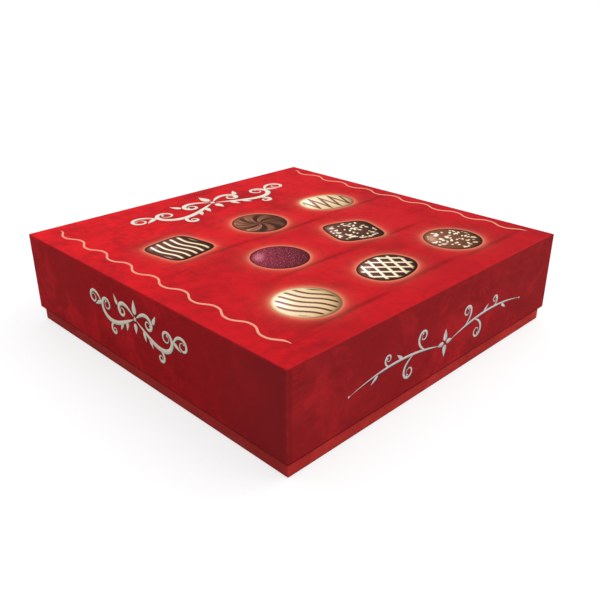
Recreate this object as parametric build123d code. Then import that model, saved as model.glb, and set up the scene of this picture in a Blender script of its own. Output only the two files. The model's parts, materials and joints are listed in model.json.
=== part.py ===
"""Square two-piece chocolate box, closed: a lift-off lid over a slightly narrower base.

Lid and base are each a greyboard panel and four flaps held at the corners by paper stays, covered by a
printed paper wrap that is turned in over the rim, and lined with a flat sheet. The base stands on a
bottom sheet. Inside, a thermoformed tray with fluted wells holds sixteen domed truffles under an
embossed cushion pad. Millimetres, +Z up, +X along the front, origin at the middle of the underside.
"""
from math import atan2, cos, degrees, pi, sin
import os

from build123d import *

# The closed box
LID_SIDE = 200.0
CLOSED_HEIGHT = 50.8
BASE_REVEAL = 7.6
SLIP_GAP = 0.3

# Sheet materials: greyboard, wrapping and lining paper, and the tape of the corner stays
BOARD = 1.0
PAPER = 0.15
STAY_TAPE = 0.08
STAY_CLEARANCE = 0.02

# How the blanks are folded and wrapped
BOARD_FOLD_RADIUS = 0.25
BEVEL_SHARE = 0.5
CORNER_SLIT = 0.2
TURN_IN = 16.0
TURN_UNDER = 12.0
STAY_LEG = 12.0
STAY_MARGIN = 2.0
LINER_MARGIN = 0.25
BOTTOM_SHEET_INSET = 1.5

# The thermoformed tray
TRAY_GAP = 0.4
TRAY_SHEET = 0.5
SKIRT_DRAFT = 0.8
SKIRT_CORNER = 4.0
CURB_WIDTH = 4.0
CURB_RISE = 1.5
WELLS_EACH_WAY = 4
WELL_MARGIN = 2.75
WELL_DEPTH = 11.5
WELL_FLOOR_GAP = 0.6
WELL_DRAFT = 1.3
FLUTES = 16
FLUTE_DEPTH = 0.8
STUD_RADIUS = 5.0
STUD_RISE = 1.2
STUD_DRAFT = 0.8
THUMB_RADIUS = 9.0
THUMB_DEPTH = 10.0

# The truffles
FOOT_RADIUS = 16.5
FOOT_HEIGHT = 1.8
FOOT_STEP = 0.8
FOOT_BEVEL = 0.5
CROWN_RADIUS = 11.5
TRUFFLE_HEIGHT = 25.5
RIDGE_RISE = 0.5
STRIPE_WIDTH = 1.4
STRIPE_PITCH = 4.6
STRIPES = 5
RING_WIDTH = 1.4
RING_PITCH = 4.0
RINGS = 3

# The cushion pad, between the truffles and the lid
PAD_GAP = 0.3
PAD_HEADROOM = 0.75
PAD_SIDE_GAP = 1.2
PAD_PLY = 1.0
PUFF_RISE = 2.0
PUFFS_EACH_WAY = 12
PUFF_CHANNEL = 2.4
PUFF_DRAFT = 3.2

# How far a cutting solid runs past the face that it cuts, and blocks that are set on their underside
OVERRUN = 1.0
RISING = (Align.CENTER, Align.CENTER, Align.MIN)

# The box, worked out from the sizes above
STAY_ROOM = STAY_TAPE + STAY_CLEARANCE
BOARD_INSET = PAPER + STAY_ROOM
FOLD_RADIUS = BOARD_FOLD_RADIUS + BOARD_INSET
WALL = BOARD_INSET + BOARD + PAPER
LID_PANEL = PAPER + BOARD + PAPER
LID_HEIGHT = CLOSED_HEIGHT - BASE_REVEAL
BASE_SIDE = LID_SIDE - 2 * (WALL + SLIP_GAP)
BASE_HEIGHT = CLOSED_HEIGHT - LID_PANEL
BASE_FLOOR = 3 * PAPER + BOARD
BASE_OPENING = BASE_SIDE - 2 * WALL

# The contents, stacked down from the lid, with the tray as high as the rest leaves it
PAD_SIDE = BASE_OPENING - 2 * PAD_SIDE_GAP
PAD_MIDDLE = BASE_HEIGHT - PAD_HEADROOM - PUFF_RISE - PAD_PLY / 2
PUFF_PITCH = PAD_SIDE / PUFFS_EACH_WAY
TRUFFLE_TOP = PAD_MIDDLE - PAD_PLY / 2 - PUFF_RISE - PAD_GAP
TRUFFLE_BASE = TRUFFLE_TOP - TRUFFLE_HEIGHT
WELL_FLOOR = TRUFFLE_BASE - BASE_FLOOR
DECK = WELL_FLOOR + WELL_DEPTH
TRAY_HEIGHT = DECK + CURB_RISE
TRAY_SIDE = BASE_OPENING - 2 * TRAY_GAP
DECK_SIDE = TRAY_SIDE - 2 * (SKIRT_DRAFT + CURB_WIDTH)
WELL_FLOOR_RADIUS = FOOT_RADIUS + WELL_FLOOR_GAP + FLUTE_DEPTH
WELL_MOUTH_RADIUS = WELL_FLOOR_RADIUS + WELL_DRAFT
WELL_PITCH = (DECK_SIDE - 2 * (WELL_MARGIN + WELL_MOUTH_RADIUS)) / (WELLS_EACH_WAY - 1)


def block(side, low, high):
    """A square block on the box's axis, between two heights."""
    return Pos(0, 0, low) * Box(side, side, high - low, align=RISING)


def rounded_block(side, low, high, radius):
    """A square block between two heights, its upright edges rounded."""
    solid = block(side, low, high)
    return fillet(solid.edges().filter_by(Axis.Z), radius)


def wrapped_block(side, low, high, radius):
    """A square block whose upright and lower edges are rounded where the sheet folds round them."""
    solid = block(side, low, high)
    folds = solid.edges().filter_by(Axis.Z) + solid.edges().group_by(Axis.Z)[0]
    return fillet(folds, radius)


def drafted_block(side, low, high, corner, draft):
    """A square block with rounded corners whose sides lean in by the draft from its foot to its top."""
    foot = Pos(0, 0, low) * RectangleRounded(side, side, corner)
    return extrude(foot, high - low, taper=degrees(atan2(draft, high - low)))


def folded_board(side, height):
    """A greyboard blank cut through at its fold lines, opening upwards: a panel, bevelled under the
    wrap's folds, and four flaps that stand on it and meet at slits in the corners."""
    panel = block(side, 0, BOARD)
    panel = chamfer(panel.edges().group_by(Axis.Z)[0], BOARD * BEVEL_SHARE)
    panel = fillet(panel.edges().filter_by(Axis.Z), BOARD_FOLD_RADIUS)
    flaps = rounded_block(side, BOARD, height, BOARD_FOLD_RADIUS)
    flaps -= block(side - 2 * BOARD, 0, height + OVERRUN)
    slit = Box(BOARD + 2 * OVERRUN, CORNER_SLIT, height + OVERRUN, align=RISING)
    places = GridLocations(side - BOARD, side - 2 * BOARD - CORNER_SLIT, 2, 2)
    flaps -= [place * slit for place in places]
    return Compound([panel, *flaps.solids()])


def corner_stays(side, height):
    """The paper tapes that hold the flaps together, one round each upright corner of the board."""
    low = BOARD + STAY_MARGIN
    high = height - STAY_MARGIN
    band = rounded_block(side + 2 * STAY_TAPE, low, high, BOARD_FOLD_RADIUS + STAY_TAPE)
    band -= rounded_block(side, low - OVERRUN, high + OVERRUN, BOARD_FOLD_RADIUS)
    between = side + 2 * STAY_TAPE - 2 * STAY_LEG
    return band - Box(between, 2 * side, 2 * high) - Box(2 * side, between, 2 * high)


def turned_rim(side, height):
    """The wrap's hem: it crosses the board's edge at the rim and is turned in down the wall."""
    opening = side - 2 * WALL
    hem = rounded_block(side - PAPER, height - PAPER, height, FOLD_RADIUS - PAPER / 2)
    turn = block(opening + 2 * PAPER, height - TURN_IN, height)
    return hem + turn - block(opening, height - TURN_IN - OVERRUN, height + OVERRUN)


def wrap_cover(side, height):
    """A wrap that covers panel and walls in one sheet, opening upwards, with its hem turned in."""
    skin = wrapped_block(side, 0, height, FOLD_RADIUS)
    skin -= wrapped_block(side - 2 * PAPER, PAPER, height + OVERRUN, FOLD_RADIUS - PAPER)
    return skin + turned_rim(side, height)


def wrap_band(side, low, height):
    """A wrap that goes round the walls as a band, turned under the floor and in over the rim."""
    skin = wrapped_block(side, low, height, FOLD_RADIUS)
    skin -= wrapped_block(side - 2 * PAPER, low + PAPER, height + OVERRUN, FOLD_RADIUS - PAPER)
    skin -= block(side - 2 * TURN_UNDER, low - OVERRUN, low + PAPER + OVERRUN)
    return skin + turned_rim(side, height)


def lining(board_side, low):
    """A flat lining sheet on the inside of a panel."""
    return block(board_side - 2 * (BOARD + LINER_MARGIN), low, low + PAPER)


def fluted_outline(radius, height):
    """A star of shallow flutes, as a face at the given height."""
    points = []
    for step in range(2 * FLUTES):
        reach = radius - FLUTE_DEPTH * (step % 2)
        angle = step * pi / FLUTES
        points.append((reach * cos(angle), reach * sin(angle)))
    return Pos(0, 0, height) * make_face(Polyline(*points, close=True))


def well_hollow(offset):
    """The hollow of one well, from its floor to past the deck, grown by the sheet's thickness."""
    floor = WELL_FLOOR - offset
    top = DECK + OVERRUN
    mouth = WELL_MOUTH_RADIUS + OVERRUN * WELL_DRAFT / WELL_DEPTH
    outlines = [fluted_outline(WELL_FLOOR_RADIUS + offset, floor), fluted_outline(mouth + offset, top)]
    return loft(outlines, ruled=True)


def tray_form(offset):
    """The forming tool's surface as a solid, taken in by the sheet's thickness: a drafted block with
    a sunken deck, studs between the wells, the wells, and a thumb recess at each side."""
    low = -OVERRUN if offset else 0
    corner = SKIRT_CORNER - offset
    form = drafted_block(TRAY_SIDE - 2 * offset, low, TRAY_HEIGHT - offset, corner, SKIRT_DRAFT)
    sunk_side = DECK_SIDE + 2 * offset
    sunk = Pos(0, 0, DECK - offset) * RectangleRounded(sunk_side, sunk_side, corner)
    form -= extrude(sunk, CURB_RISE + OVERRUN)
    stud_radius = STUD_RADIUS - offset
    stud = Cone(stud_radius, stud_radius - STUD_DRAFT, STUD_RISE, align=RISING)
    stud = Pos(0, 0, DECK - offset) * stud
    gaps = WELLS_EACH_WAY - 1
    form += [place * stud for place in GridLocations(WELL_PITCH, WELL_PITCH, gaps, gaps)]
    wells = GridLocations(WELL_PITCH, WELL_PITCH, WELLS_EACH_WAY, WELLS_EACH_WAY)
    form -= [place * well_hollow(offset) for place in wells]
    thumb = Cylinder(THUMB_RADIUS + offset, THUMB_DEPTH + CURB_RISE + OVERRUN, align=RISING)
    thumb = Pos(0, 0, DECK - THUMB_DEPTH - offset) * thumb
    return form - [Pos(place, 0, 0) * thumb for place in (-TRAY_SIDE / 2, TRAY_SIDE / 2)]


def formed_tray():
    """The thermoformed sheet: the tool's surface less the same surface one thickness further in."""
    return Pos(0, 0, BASE_FLOOR) * (tray_form(0) - tray_form(TRAY_SHEET))


def dome(rise):
    """A truffle's dome: a steep flank that runs smoothly into a rounder crown, turned about the
    axis and grown by a ridge's rise."""
    width = FOOT_RADIUS - FOOT_STEP
    crown_centre = TRUFFLE_HEIGHT - FOOT_HEIGHT - RIDGE_RISE - CROWN_RADIUS
    spread = width - CROWN_RADIUS
    flank_radius = CROWN_RADIUS + (spread**2 + crown_centre**2) / (2 * spread)
    lean = degrees(atan2(crown_centre, flank_radius - width))
    flank = CenterArc((width - flank_radius, FOOT_HEIGHT), flank_radius + rise, 0, lean)
    crown = CenterArc((0, FOOT_HEIGHT + crown_centre), CROWN_RADIUS + rise, lean, 90 - lean)
    sides = Polyline(crown @ 1, (0, 0), (width + rise, 0), flank @ 0)
    return revolve(Plane.XZ * make_face(flank + crown + sides), Axis.Z)


def plain_truffle():
    """A moulded truffle: a dome on a slightly wider foot."""
    foot = Cylinder(FOOT_RADIUS, FOOT_HEIGHT, align=RISING)
    return chamfer(foot.edges().filter_by(GeomType.CIRCLE), FOOT_BEVEL) + dome(0)


def striped_truffle():
    """A truffle with straight raised stripes of piped chocolate across its dome."""
    stripe = Pos(0, 0, FOOT_HEIGHT) * Box(STRIPE_WIDTH, 2 * FOOT_RADIUS, TRUFFLE_HEIGHT, align=RISING)
    ridged = dome(RIDGE_RISE)
    solid = plain_truffle()
    for place in GridLocations(STRIPE_PITCH, 0, STRIPES, 1):
        solid += place * stripe & ridged
    return solid


def ringed_truffle():
    """A truffle with raised rings round its crown."""
    ridged = dome(RIDGE_RISE)
    solid = plain_truffle()
    for number in range(RINGS):
        radius = RING_PITCH * (number + 1)
        core = Cylinder(radius - RING_WIDTH, TRUFFLE_HEIGHT, align=RISING)
        solid += (Cylinder(radius, TRUFFLE_HEIGHT, align=RISING) - core) & ridged
    return solid


def cushion_pad():
    """The pad over the truffles: plies of paper embossed with puffs on both faces."""
    puff = PUFF_PITCH - PUFF_CHANNEL
    face = PAD_PLY / 2
    rise = face + PUFF_RISE
    upper = extrude(Rectangle(puff, puff), rise, taper=degrees(atan2(PUFF_DRAFT, rise)))
    puffs = [upper, mirror(upper, Plane.XY)]
    places = GridLocations(PUFF_PITCH, PUFF_PITCH, PUFFS_EACH_WAY, PUFFS_EACH_WAY)
    pad = block(PAD_SIDE, -face, face)
    pad += [place * solid for place in places for solid in puffs]
    return Pos(0, 0, PAD_MIDDLE) * pad


def lid_pieces():
    """The lid's pieces, made opening upwards and turned over onto the base."""
    seated = Pos(0, 0, CLOSED_HEIGHT) * Rot(180, 0, 0)
    board_side = LID_SIDE - 2 * BOARD_INSET
    board_height = LID_HEIGHT - 2 * PAPER
    raised = seated * Pos(0, 0, PAPER)
    return {
        "lid_wrap": seated * wrap_cover(LID_SIDE, LID_HEIGHT),
        "lid_board": raised * folded_board(board_side, board_height),
        "lid_corner_stays": raised * corner_stays(board_side, board_height),
        "lid_liner": raised * lining(board_side, BOARD),
    }


def base_pieces():
    """The base's pieces, standing on the bottom sheet."""
    board_side = BASE_SIDE - 2 * BOARD_INSET
    board_height = BASE_HEIGHT - 3 * PAPER
    raised = Pos(0, 0, 2 * PAPER)
    return {
        "base_wrap": wrap_band(BASE_SIDE, PAPER, BASE_HEIGHT),
        "base_board": raised * folded_board(board_side, board_height),
        "base_corner_stays": raised * corner_stays(board_side, board_height),
        "base_liner": raised * lining(board_side, BOARD),
        "base_bottom_sheet": block(BASE_SIDE - 2 * BOTTOM_SHEET_INSET, 0, PAPER),
    }


def truffle_pieces():
    """The truffles, numbered row by row from the front left, their kinds shifted from row to row."""
    kinds = [striped_truffle(), plain_truffle(), ringed_truffle(), plain_truffle()]
    pieces = {}
    places = GridLocations(WELL_PITCH, WELL_PITCH, WELLS_EACH_WAY, WELLS_EACH_WAY)
    for step, place in enumerate(places):
        column, row = divmod(step, WELLS_EACH_WAY)
        kind = kinds[(column + 2 * row) % len(kinds)]
        number = row * WELLS_EACH_WAY + column + 1
        pieces[f"truffle_{number:02d}"] = Pos(0, 0, TRUFFLE_BASE) * place * kind
    return pieces


def main():
    os.makedirs("parts", exist_ok=True)
    pieces = lid_pieces()
    pieces.update(base_pieces())
    pieces.update(truffle_pieces())
    pieces["tray"] = formed_tray()
    pieces["cushion_pad"] = cushion_pad()
    for name, solid in pieces.items():
        export_step(solid, f"parts/{name}.step")


main()
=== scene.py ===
"""Dressed model of a square chocolate box: printed paper covers over folded greyboard, a formed
tray, moulded truffles and a cushion pad, on a pale floor. Metres, +Z up, +X along its front."""
import json
from math import cos, hypot, pi, radians, sin, sqrt, tau

import bmesh
import bpy
import numpy as np
from bpy.props import FloatProperty, FloatVectorProperty, IntProperty, PointerProperty
from mathutils import Matrix, Vector, noise


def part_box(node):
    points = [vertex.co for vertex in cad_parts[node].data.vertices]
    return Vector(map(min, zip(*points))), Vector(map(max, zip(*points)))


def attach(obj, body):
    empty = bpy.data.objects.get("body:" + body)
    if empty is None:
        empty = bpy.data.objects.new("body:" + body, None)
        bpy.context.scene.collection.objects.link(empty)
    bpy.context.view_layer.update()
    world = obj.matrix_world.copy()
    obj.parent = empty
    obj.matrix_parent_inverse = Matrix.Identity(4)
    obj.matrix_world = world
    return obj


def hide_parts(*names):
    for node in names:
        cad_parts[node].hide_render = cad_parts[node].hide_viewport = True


bl_info = {
    "name": "Chocolate box",
    "version": (1, 0, 0),
    "blender": (4, 5, 0),
    "location": "3D View > Sidebar > Chocolate box",
    "description": "Dresses a square paper-covered box, its tray, truffles and cushion pad",
    "category": "Object",
}

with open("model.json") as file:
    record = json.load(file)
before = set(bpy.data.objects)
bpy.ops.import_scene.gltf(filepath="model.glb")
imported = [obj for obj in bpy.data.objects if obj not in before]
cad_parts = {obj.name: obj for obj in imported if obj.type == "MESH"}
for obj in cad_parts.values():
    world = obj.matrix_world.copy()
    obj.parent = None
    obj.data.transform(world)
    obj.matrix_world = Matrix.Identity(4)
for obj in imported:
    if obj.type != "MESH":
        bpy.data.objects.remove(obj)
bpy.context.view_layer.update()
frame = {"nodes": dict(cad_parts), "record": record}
MM = 0.001
TRUFFLES = sorted(name for name in frame["nodes"] if name.startswith("truffle_"))


# Settings that a user would change

def length_setting(name, description, millimetres):
    """A length in metres, written in millimetres."""
    return FloatProperty(name=name, description=description, default=millimetres * MM, min=0.0,
                         precision=5, subtype="DISTANCE", unit="LENGTH")


def colour_setting(name, description, red, green, blue):
    """A linear colour."""
    return FloatVectorProperty(name=name, description=description, default=(red, green, blue),
                               size=3, min=0.0, max=1.0, subtype="COLOR")


class CoverSettings(bpy.types.PropertyGroup):
    """Sizes of the paper covers of lid and base."""
    paper: length_setting("Paper", "Thickness of the wrapping paper", 0.15)
    wall: length_setting("Wall", "Thickness of a covered wall", 1.4)
    fold: length_setting("Fold radius", "Radius of the paper round the box's edges", 0.5)
    rim_fold: length_setting("Rim fold radius", "Radius of the paper round the board's edge", 0.4)
    hem: length_setting("Hem", "How far the paper is turned in over the rim", 16.0)
    turn_under: length_setting("Turn under", "How far the base's paper goes under the floor", 12.0)
    rim_line: length_setting("Rim line", "Height of the darker line along the lid's rim", 0.8)
    ink: length_setting("Ink", "Thickness of the printed and foiled ornament", 0.03)
    panel_grid: length_setting("Panel grid", "Mesh pitch on the lid's panel", 1.25)
    wall_grid: length_setting("Wall grid", "Mesh pitch up and along the walls", 4.0)


class PrintSettings(bpy.types.PropertyGroup):
    """Colours and sizes of the print."""
    red: colour_setting("Red", "Ground of the printed paper", 0.66, 0.0110, 0.0165)
    deep_red: colour_setting("Deep red", "Mottling of the printed paper", 0.26, 0.0090, 0.0120)
    glow: colour_setting("Glow", "Glow round the printed bonbons", 0.82, 0.32, 0.18)
    salmon: colour_setting("Salmon", "Wavy lines", 0.74, 0.30, 0.20)
    ivory: colour_setting("Ivory", "Scrolls on the lid's panel", 0.72, 0.66, 0.56)
    stone: colour_setting("Stone", "Scrolls on the left wall", 0.50, 0.46, 0.38)
    silver: colour_setting("Silver", "Foiled ornament on the front wall", 0.56, 0.54, 0.53)
    wave_length: length_setting("Wave length", "Length of one wave of the wavy lines", 22.33)
    wave_width: length_setting("Wave width", "Width of the wavy lines", 1.4)


class ChocolateSettings(bpy.types.PropertyGroup):
    """Sizes and colours of the truffles."""
    dark: colour_setting("Dark", "Dark chocolate", 0.040, 0.016, 0.010)
    milk: colour_setting("Milk", "Milk chocolate", 0.170, 0.070, 0.032)
    cream: colour_setting("Cream", "Piped white chocolate", 0.86, 0.74, 0.55)
    nut: colour_setting("Nut", "Chopped nuts", 0.60, 0.36, 0.17)
    line: length_setting("Piped line", "Width of the piped lines", 1.4)
    drizzle: length_setting("Drizzle", "Width of the fine drizzle", 0.9)
    crumb: length_setting("Crumb", "Size of a nut crumb", 1.45)
    spacing: length_setting("Crumb spacing", "Least gap between the middles of two crumbs", 2.0)
    seed: IntProperty(name="Seed", description="Scatter of the crumbs", default=7, min=0)


class InsideSettings(bpy.types.PropertyGroup):
    """Colours of the boards, papers and the tray, and sizes of the cushion pad."""
    greyboard: colour_setting("Greyboard", "Pulp board of lid and base", 0.46, 0.43, 0.38)
    kraft: colour_setting("Kraft", "Corner stays", 0.56, 0.40, 0.25)
    lining: colour_setting("Lining", "Lining sheets", 0.88, 0.86, 0.82)
    underside: colour_setting("Underside", "Sheet under the base", 0.36, 0.014, 0.020)
    plastic: colour_setting("Plastic", "Formed tray", 0.092, 0.036, 0.016)
    pad: colour_setting("Pad", "Plies of the cushion pad", 0.86, 0.83, 0.77)
    puffs: IntProperty(name="Puffs", description="Puffs along one side of the cushion pad",
                       default=12, min=2)
    channel: length_setting("Channel", "Width of the pressed lines between puffs", 2.4)
    ply: length_setting("Ply", "Thickness of the pressed lines", 1.0)


class StageSettings(bpy.types.PropertyGroup):
    """The floor and the light."""
    floor: colour_setting("Floor", "Colour of the floor", 0.95, 0.95, 0.95)
    shadow: FloatProperty(name="Shadow", description="How much of the floor's shadow shows",
                          default=0.32, min=0.0, max=1.0)
    key: FloatProperty(name="Key light", description="Power of the soft light overhead",
                       default=6.0, min=0.0, unit="POWER")
    sky: FloatProperty(name="Sky", description="Strength of the even light all round",
                       default=1.1, min=0.0)


class BoxSettings(bpy.types.PropertyGroup):
    """All settings of the chocolate box."""
    cover: PointerProperty(type=CoverSettings)
    ornament: PointerProperty(type=PrintSettings)
    chocolate: PointerProperty(type=ChocolateSettings)
    inside: PointerProperty(type=InsideSettings)
    stage: PointerProperty(type=StageSettings)


def settings():
    """The scene's settings of the box."""
    return bpy.context.scene.chocolate_box


# Node trees

def wire(tree, kind, inputs=None, **properties):
    """Adds a node to a tree, sets its properties, and gives its inputs a number or a link each."""
    node = tree.nodes.new(kind)
    for name, value in properties.items():
        setattr(node, name, value)
    for name, value in (inputs or {}).items():
        if isinstance(value, Value):
            tree.links.new(value.socket, node.inputs[name])
        else:
            node.inputs[name].default_value = value
    return node


class Value:
    """What a node gives. A sum on it adds a node to its tree."""

    def __init__(self, node, output=0):
        self.socket = node.outputs[output]
        self.tree = self.socket.id_data

    def sum(self, operation, other=0.0):
        """The result of a sum on this value and another."""
        return Value(wire(self.tree, "ShaderNodeMath", {0: self, 1: other}, operation=operation))

    def __add__(self, other):
        return self.sum("ADD", other)

    def __sub__(self, other):
        return self.sum("SUBTRACT", other)

    def __rsub__(self, other):
        return Value(wire(self.tree, "ShaderNodeMath", {0: other, 1: self}, operation="SUBTRACT"))

    def __mul__(self, other):
        return self.sum("MULTIPLY", other)

    def __truediv__(self, other):
        return self.sum("DIVIDE", other)

    def spread(self, low, high):
        """This value spread from 0 to 1 between two limits."""
        inputs = {"Value": self, "From Min": low, "From Max": high}
        return Value(wire(self.tree, "ShaderNodeMapRange", inputs, clamp=True))


def tinted(colour, factor, lift=0.0):
    """A colour made paler or darker."""
    return tuple(min(1.0, factor * band + lift) for band in colour)


class Finish:
    """A material in the making: a Principled shader, and a ground colour that nodes stain."""

    def __init__(self, name, roughness, specular, ground=None):
        self.material = bpy.data.materials.new(name)
        self.material.use_nodes = True
        self.tree = self.material.node_tree
        self.shader = self.tree.nodes["Principled BSDF"]
        self.shader.inputs["Roughness"].default_value = roughness
        self.shader.inputs["Specular IOR Level"].default_value = specular
        self.place = Value(wire(self.tree, "ShaderNodeTexCoord"), "Object")
        self.ground = ground
        self.relief = {}

    def feed(self, name, value):
        """Lets a value feed one of the shader's inputs."""
        self.tree.links.new(value.socket, self.shader.inputs[name])

    def cloud(self, scale, detail=3.0, rough=0.55, stretch=None, distortion=0.0):
        """Noise with a scale in cycles a metre, which can differ along each axis."""
        place = self.place
        if stretch:
            place = Value(wire(self.tree, "ShaderNodeMapping", {"Vector": place, "Scale": stretch}))
        inputs = {"Vector": place, "Scale": scale, "Detail": detail, "Roughness": rough,
                  "Distortion": distortion}
        return Value(wire(self.tree, "ShaderNodeTexNoise", inputs))

    def painted(self, name, output="Fac"):
        """A value painted on the mesh."""
        return Value(wire(self.tree, "ShaderNodeAttribute", attribute_name=name), output)

    def mixed(self, share, first, second, blend="MIX"):
        """Two colours mixed."""
        inputs = {0: share, 6: first, 7: second}
        for name in (6, 7):
            if not isinstance(inputs[name], Value):
                inputs[name] = (*inputs[name], 1.0)
        mix = wire(self.tree, "ShaderNodeMix", inputs, data_type="RGBA", blend_type=blend)
        return Value(mix, 2)

    def stain(self, share, colour):
        """Mixes a colour into the ground, and shows it."""
        self.ground = self.mixed(share, self.ground, colour)
        self.feed("Base Color", self.ground)

    def uneven(self, value, low, high):
        """Lets a value from 0 to 1 set the roughness between two limits."""
        inputs = {"Value": value, "To Min": low, "To Max": high}
        self.feed("Roughness", Value(wire(self.tree, "ShaderNodeMapRange", inputs, clamp=True)))

    def bump(self, height, depth, strength):
        """Adds fine relief of a depth in metres, on top of any that is there."""
        inputs = {"Height": height, "Distance": depth, "Strength": strength, **self.relief}
        self.relief = {"Normal": Value(wire(self.tree, "ShaderNodeBump", inputs))}
        self.feed("Normal", self.relief["Normal"])

    def paper_grain(self, strength):
        """Adds the fine grain of coated paper."""
        self.bump(self.cloud(2600.0, detail=2.0), 0.02 * MM, strength)


# Meshes

MERGE = 0.001 * MM


def raw_mesh(name, vertices, faces):
    """A mesh from arrays of places in metres and of corners."""
    mesh = bpy.data.meshes.new(name)
    mesh.from_pydata([tuple(v) for v in vertices], [], faces)
    return mesh


def smooth(mesh, sharp=40.0):
    """Shades a mesh smooth up to an angle."""
    mesh.shade_smooth()
    mesh.set_sharp_from_angle(angle=radians(sharp))
    return mesh


def new_mesh(name, vertices, faces, sharp=40.0):
    """A smooth mesh, with what lies together merged and slivers dropped."""
    mesh = raw_mesh(name, vertices, faces)
    work = bmesh.new()
    work.from_mesh(mesh)
    bmesh.ops.remove_doubles(work, verts=work.verts, dist=MERGE)
    bmesh.ops.dissolve_degenerate(work, edges=work.edges, dist=MERGE)
    work.to_mesh(mesh)
    work.free()
    return smooth(mesh, sharp)


def square_grid(count):
    """Faces of a square grid of vertices, row by row, and its rim, anticlockwise from the first."""
    number = np.arange(count * count).reshape(count, count)
    corners = number[:-1, :-1], number[:-1, 1:], number[1:, 1:], number[1:, :-1]
    rim = number[0, :-1], number[:-1, -1], number[-1, :0:-1], number[:0:-1, 0]
    return list(zip(*(corner.ravel().tolist() for corner in corners))), np.concatenate(rim).tolist()


def band(upper, lower):
    """Faces between two rings of vertices."""
    return [(upper[i - 1], lower[i - 1], lower[i], upper[i]) for i in range(len(upper))]


def add_object(name, mesh, finish=None):
    """Links a mesh into the scene as an object of its own."""
    piece = bpy.data.objects.new(name, mesh)
    bpy.context.scene.collection.objects.link(piece)
    if finish:
        mesh.materials.clear()
        mesh.materials.append(finish.material)
    return piece


def settle(piece):
    """Turns a piece's modifiers into plain mesh."""
    bpy.context.view_layer.update()
    evaluated = piece.evaluated_get(bpy.context.evaluated_depsgraph_get())
    mesh = bpy.data.meshes.new_from_object(evaluated)
    mesh.name = piece.name
    piece.modifiers.clear()
    piece.data = mesh


def thicken(piece, thickness):
    """Gives a surface its thickness, inwards from the side that shows."""
    solidify = piece.modifiers.new("Thickness", "SOLIDIFY")
    solidify.thickness = thickness
    solidify.offset = -1.0
    solidify.use_even_offset = True
    settle(piece)


def seat(piece, body, slot, *nodes):
    """Makes a finished piece ride on its body and stand for CAD nodes, which it hides.
    The slot is not used.
    """
    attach(piece, body)
    if nodes:
        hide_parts(*nodes)


def paint(mesh, **layers):
    """Keeps values for each vertex on the mesh, under their names."""
    for name, values in layers.items():
        layer = mesh.attributes.new(name, "FLOAT", "POINT")
        layer.data.foreach_set("value", np.asarray(values, dtype=np.float32))


def places(mesh):
    """The mesh's vertices as an array."""
    flat = np.empty(3 * len(mesh.vertices))
    mesh.vertices.foreach_get("co", flat)
    return flat.reshape(-1, 3)


def dress(node, finish):
    """Gives a CAD node its finish."""
    data = frame["nodes"][node].data
    if not data.materials:
        data.materials.append(finish.material)
    for slot in frame["nodes"][node].material_slots:
        slot.material = finish.material


# Paper covers

FOLD_STEPS = 3


def grid_stops(half, fold, pitch):
    """Where grid lines cross a face: even steps on the flat and fine ones in the folds."""
    flat = half - fold
    count = max(2, round(2 * flat / pitch))
    even = np.linspace(-flat, flat, count + 1)
    fine = flat + fold * np.arange(1, FOLD_STEPS + 1) / FOLD_STEPS
    return np.concatenate([-fine[::-1], even, fine])


def outline_of(stops):
    """The square outline through the grid lines' ends, anticlockwise from the front left."""
    low = np.full(len(stops) - 1, stops[0])
    high = np.full(len(stops) - 1, stops[-1])
    rising, falling = stops[:-1], stops[:0:-1]
    sides = [(rising, low), (high, rising), (falling, high), (low, falling)]
    return np.concatenate([np.column_stack(side) for side in sides])


def rim_profile(outer, inner, edge, inward, fold):
    """The paper round a board's edge: pairs of offset and height from outer to inner face."""
    turn = [pi / 2 * step / FOLD_STEPS for step in range(FOLD_STEPS + 1)]
    first = [(outer - fold + fold * cos(a), edge + inward * fold * (1 - sin(a))) for a in turn]
    second = [(inner + fold - fold * sin(a), edge + inward * fold * (1 - cos(a))) for a in turn]
    return first + second


def paper_cover(name, half, profile, panel_top=None):
    """A paper cover as one sheet: rings that follow a profile round the square, and a panel."""
    cover = settings().cover
    fold = cover.fold
    core = half - fold
    stops = grid_stops(half, fold, cover.panel_grid if panel_top else cover.wall_grid)
    outline = outline_of(stops)
    flat = np.clip(outline, -core, core)
    outward = outline - flat
    rings, faces, vertices = [], [], []

    def rounded(level, lean, rise):
        """Places on the fold round the panel's edge."""
        reach = np.sqrt((lean**2).sum(axis=1) + rise**2)
        spread = level + fold * lean / reach[:, None]
        return np.column_stack([spread, panel_top - fold + fold * rise / reach])

    def ring(points):
        """Adds a ring of vertices."""
        rings.append(list(range(len(vertices), len(vertices) + len(points))))
        vertices.extend(points)

    if panel_top:
        grid = np.column_stack([axis.ravel() for axis in np.meshgrid(stops, stops)])
        level = np.clip(grid, -core, core)
        vertices.extend(rounded(level, grid - level, fold))
        faces, rim = square_grid(len(stops))
        rings.append(rim)
        for step in range(FOLD_STEPS - 1, 0, -1):
            ring(rounded(flat, outward, fold * step / FOLD_STEPS))

    outward = outward / np.sqrt((outward**2).sum(axis=1))[:, None]
    for offset, height in profile:
        around = flat + outward * offset if offset > 0 else flat * (core + offset) / core
        ring(np.column_stack([around, np.full(len(around), height)]))
    for upper, lower in zip(rings, rings[1:]):
        faces += band(upper, lower)
    return new_mesh(name, vertices, faces)


def steps_between(start, end, pitch):
    """Even steps from one height to another, without the first."""
    count = max(1, round(abs(end - start) / pitch))
    return [start + (end - start) * step / count for step in range(1, count + 1)]


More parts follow.
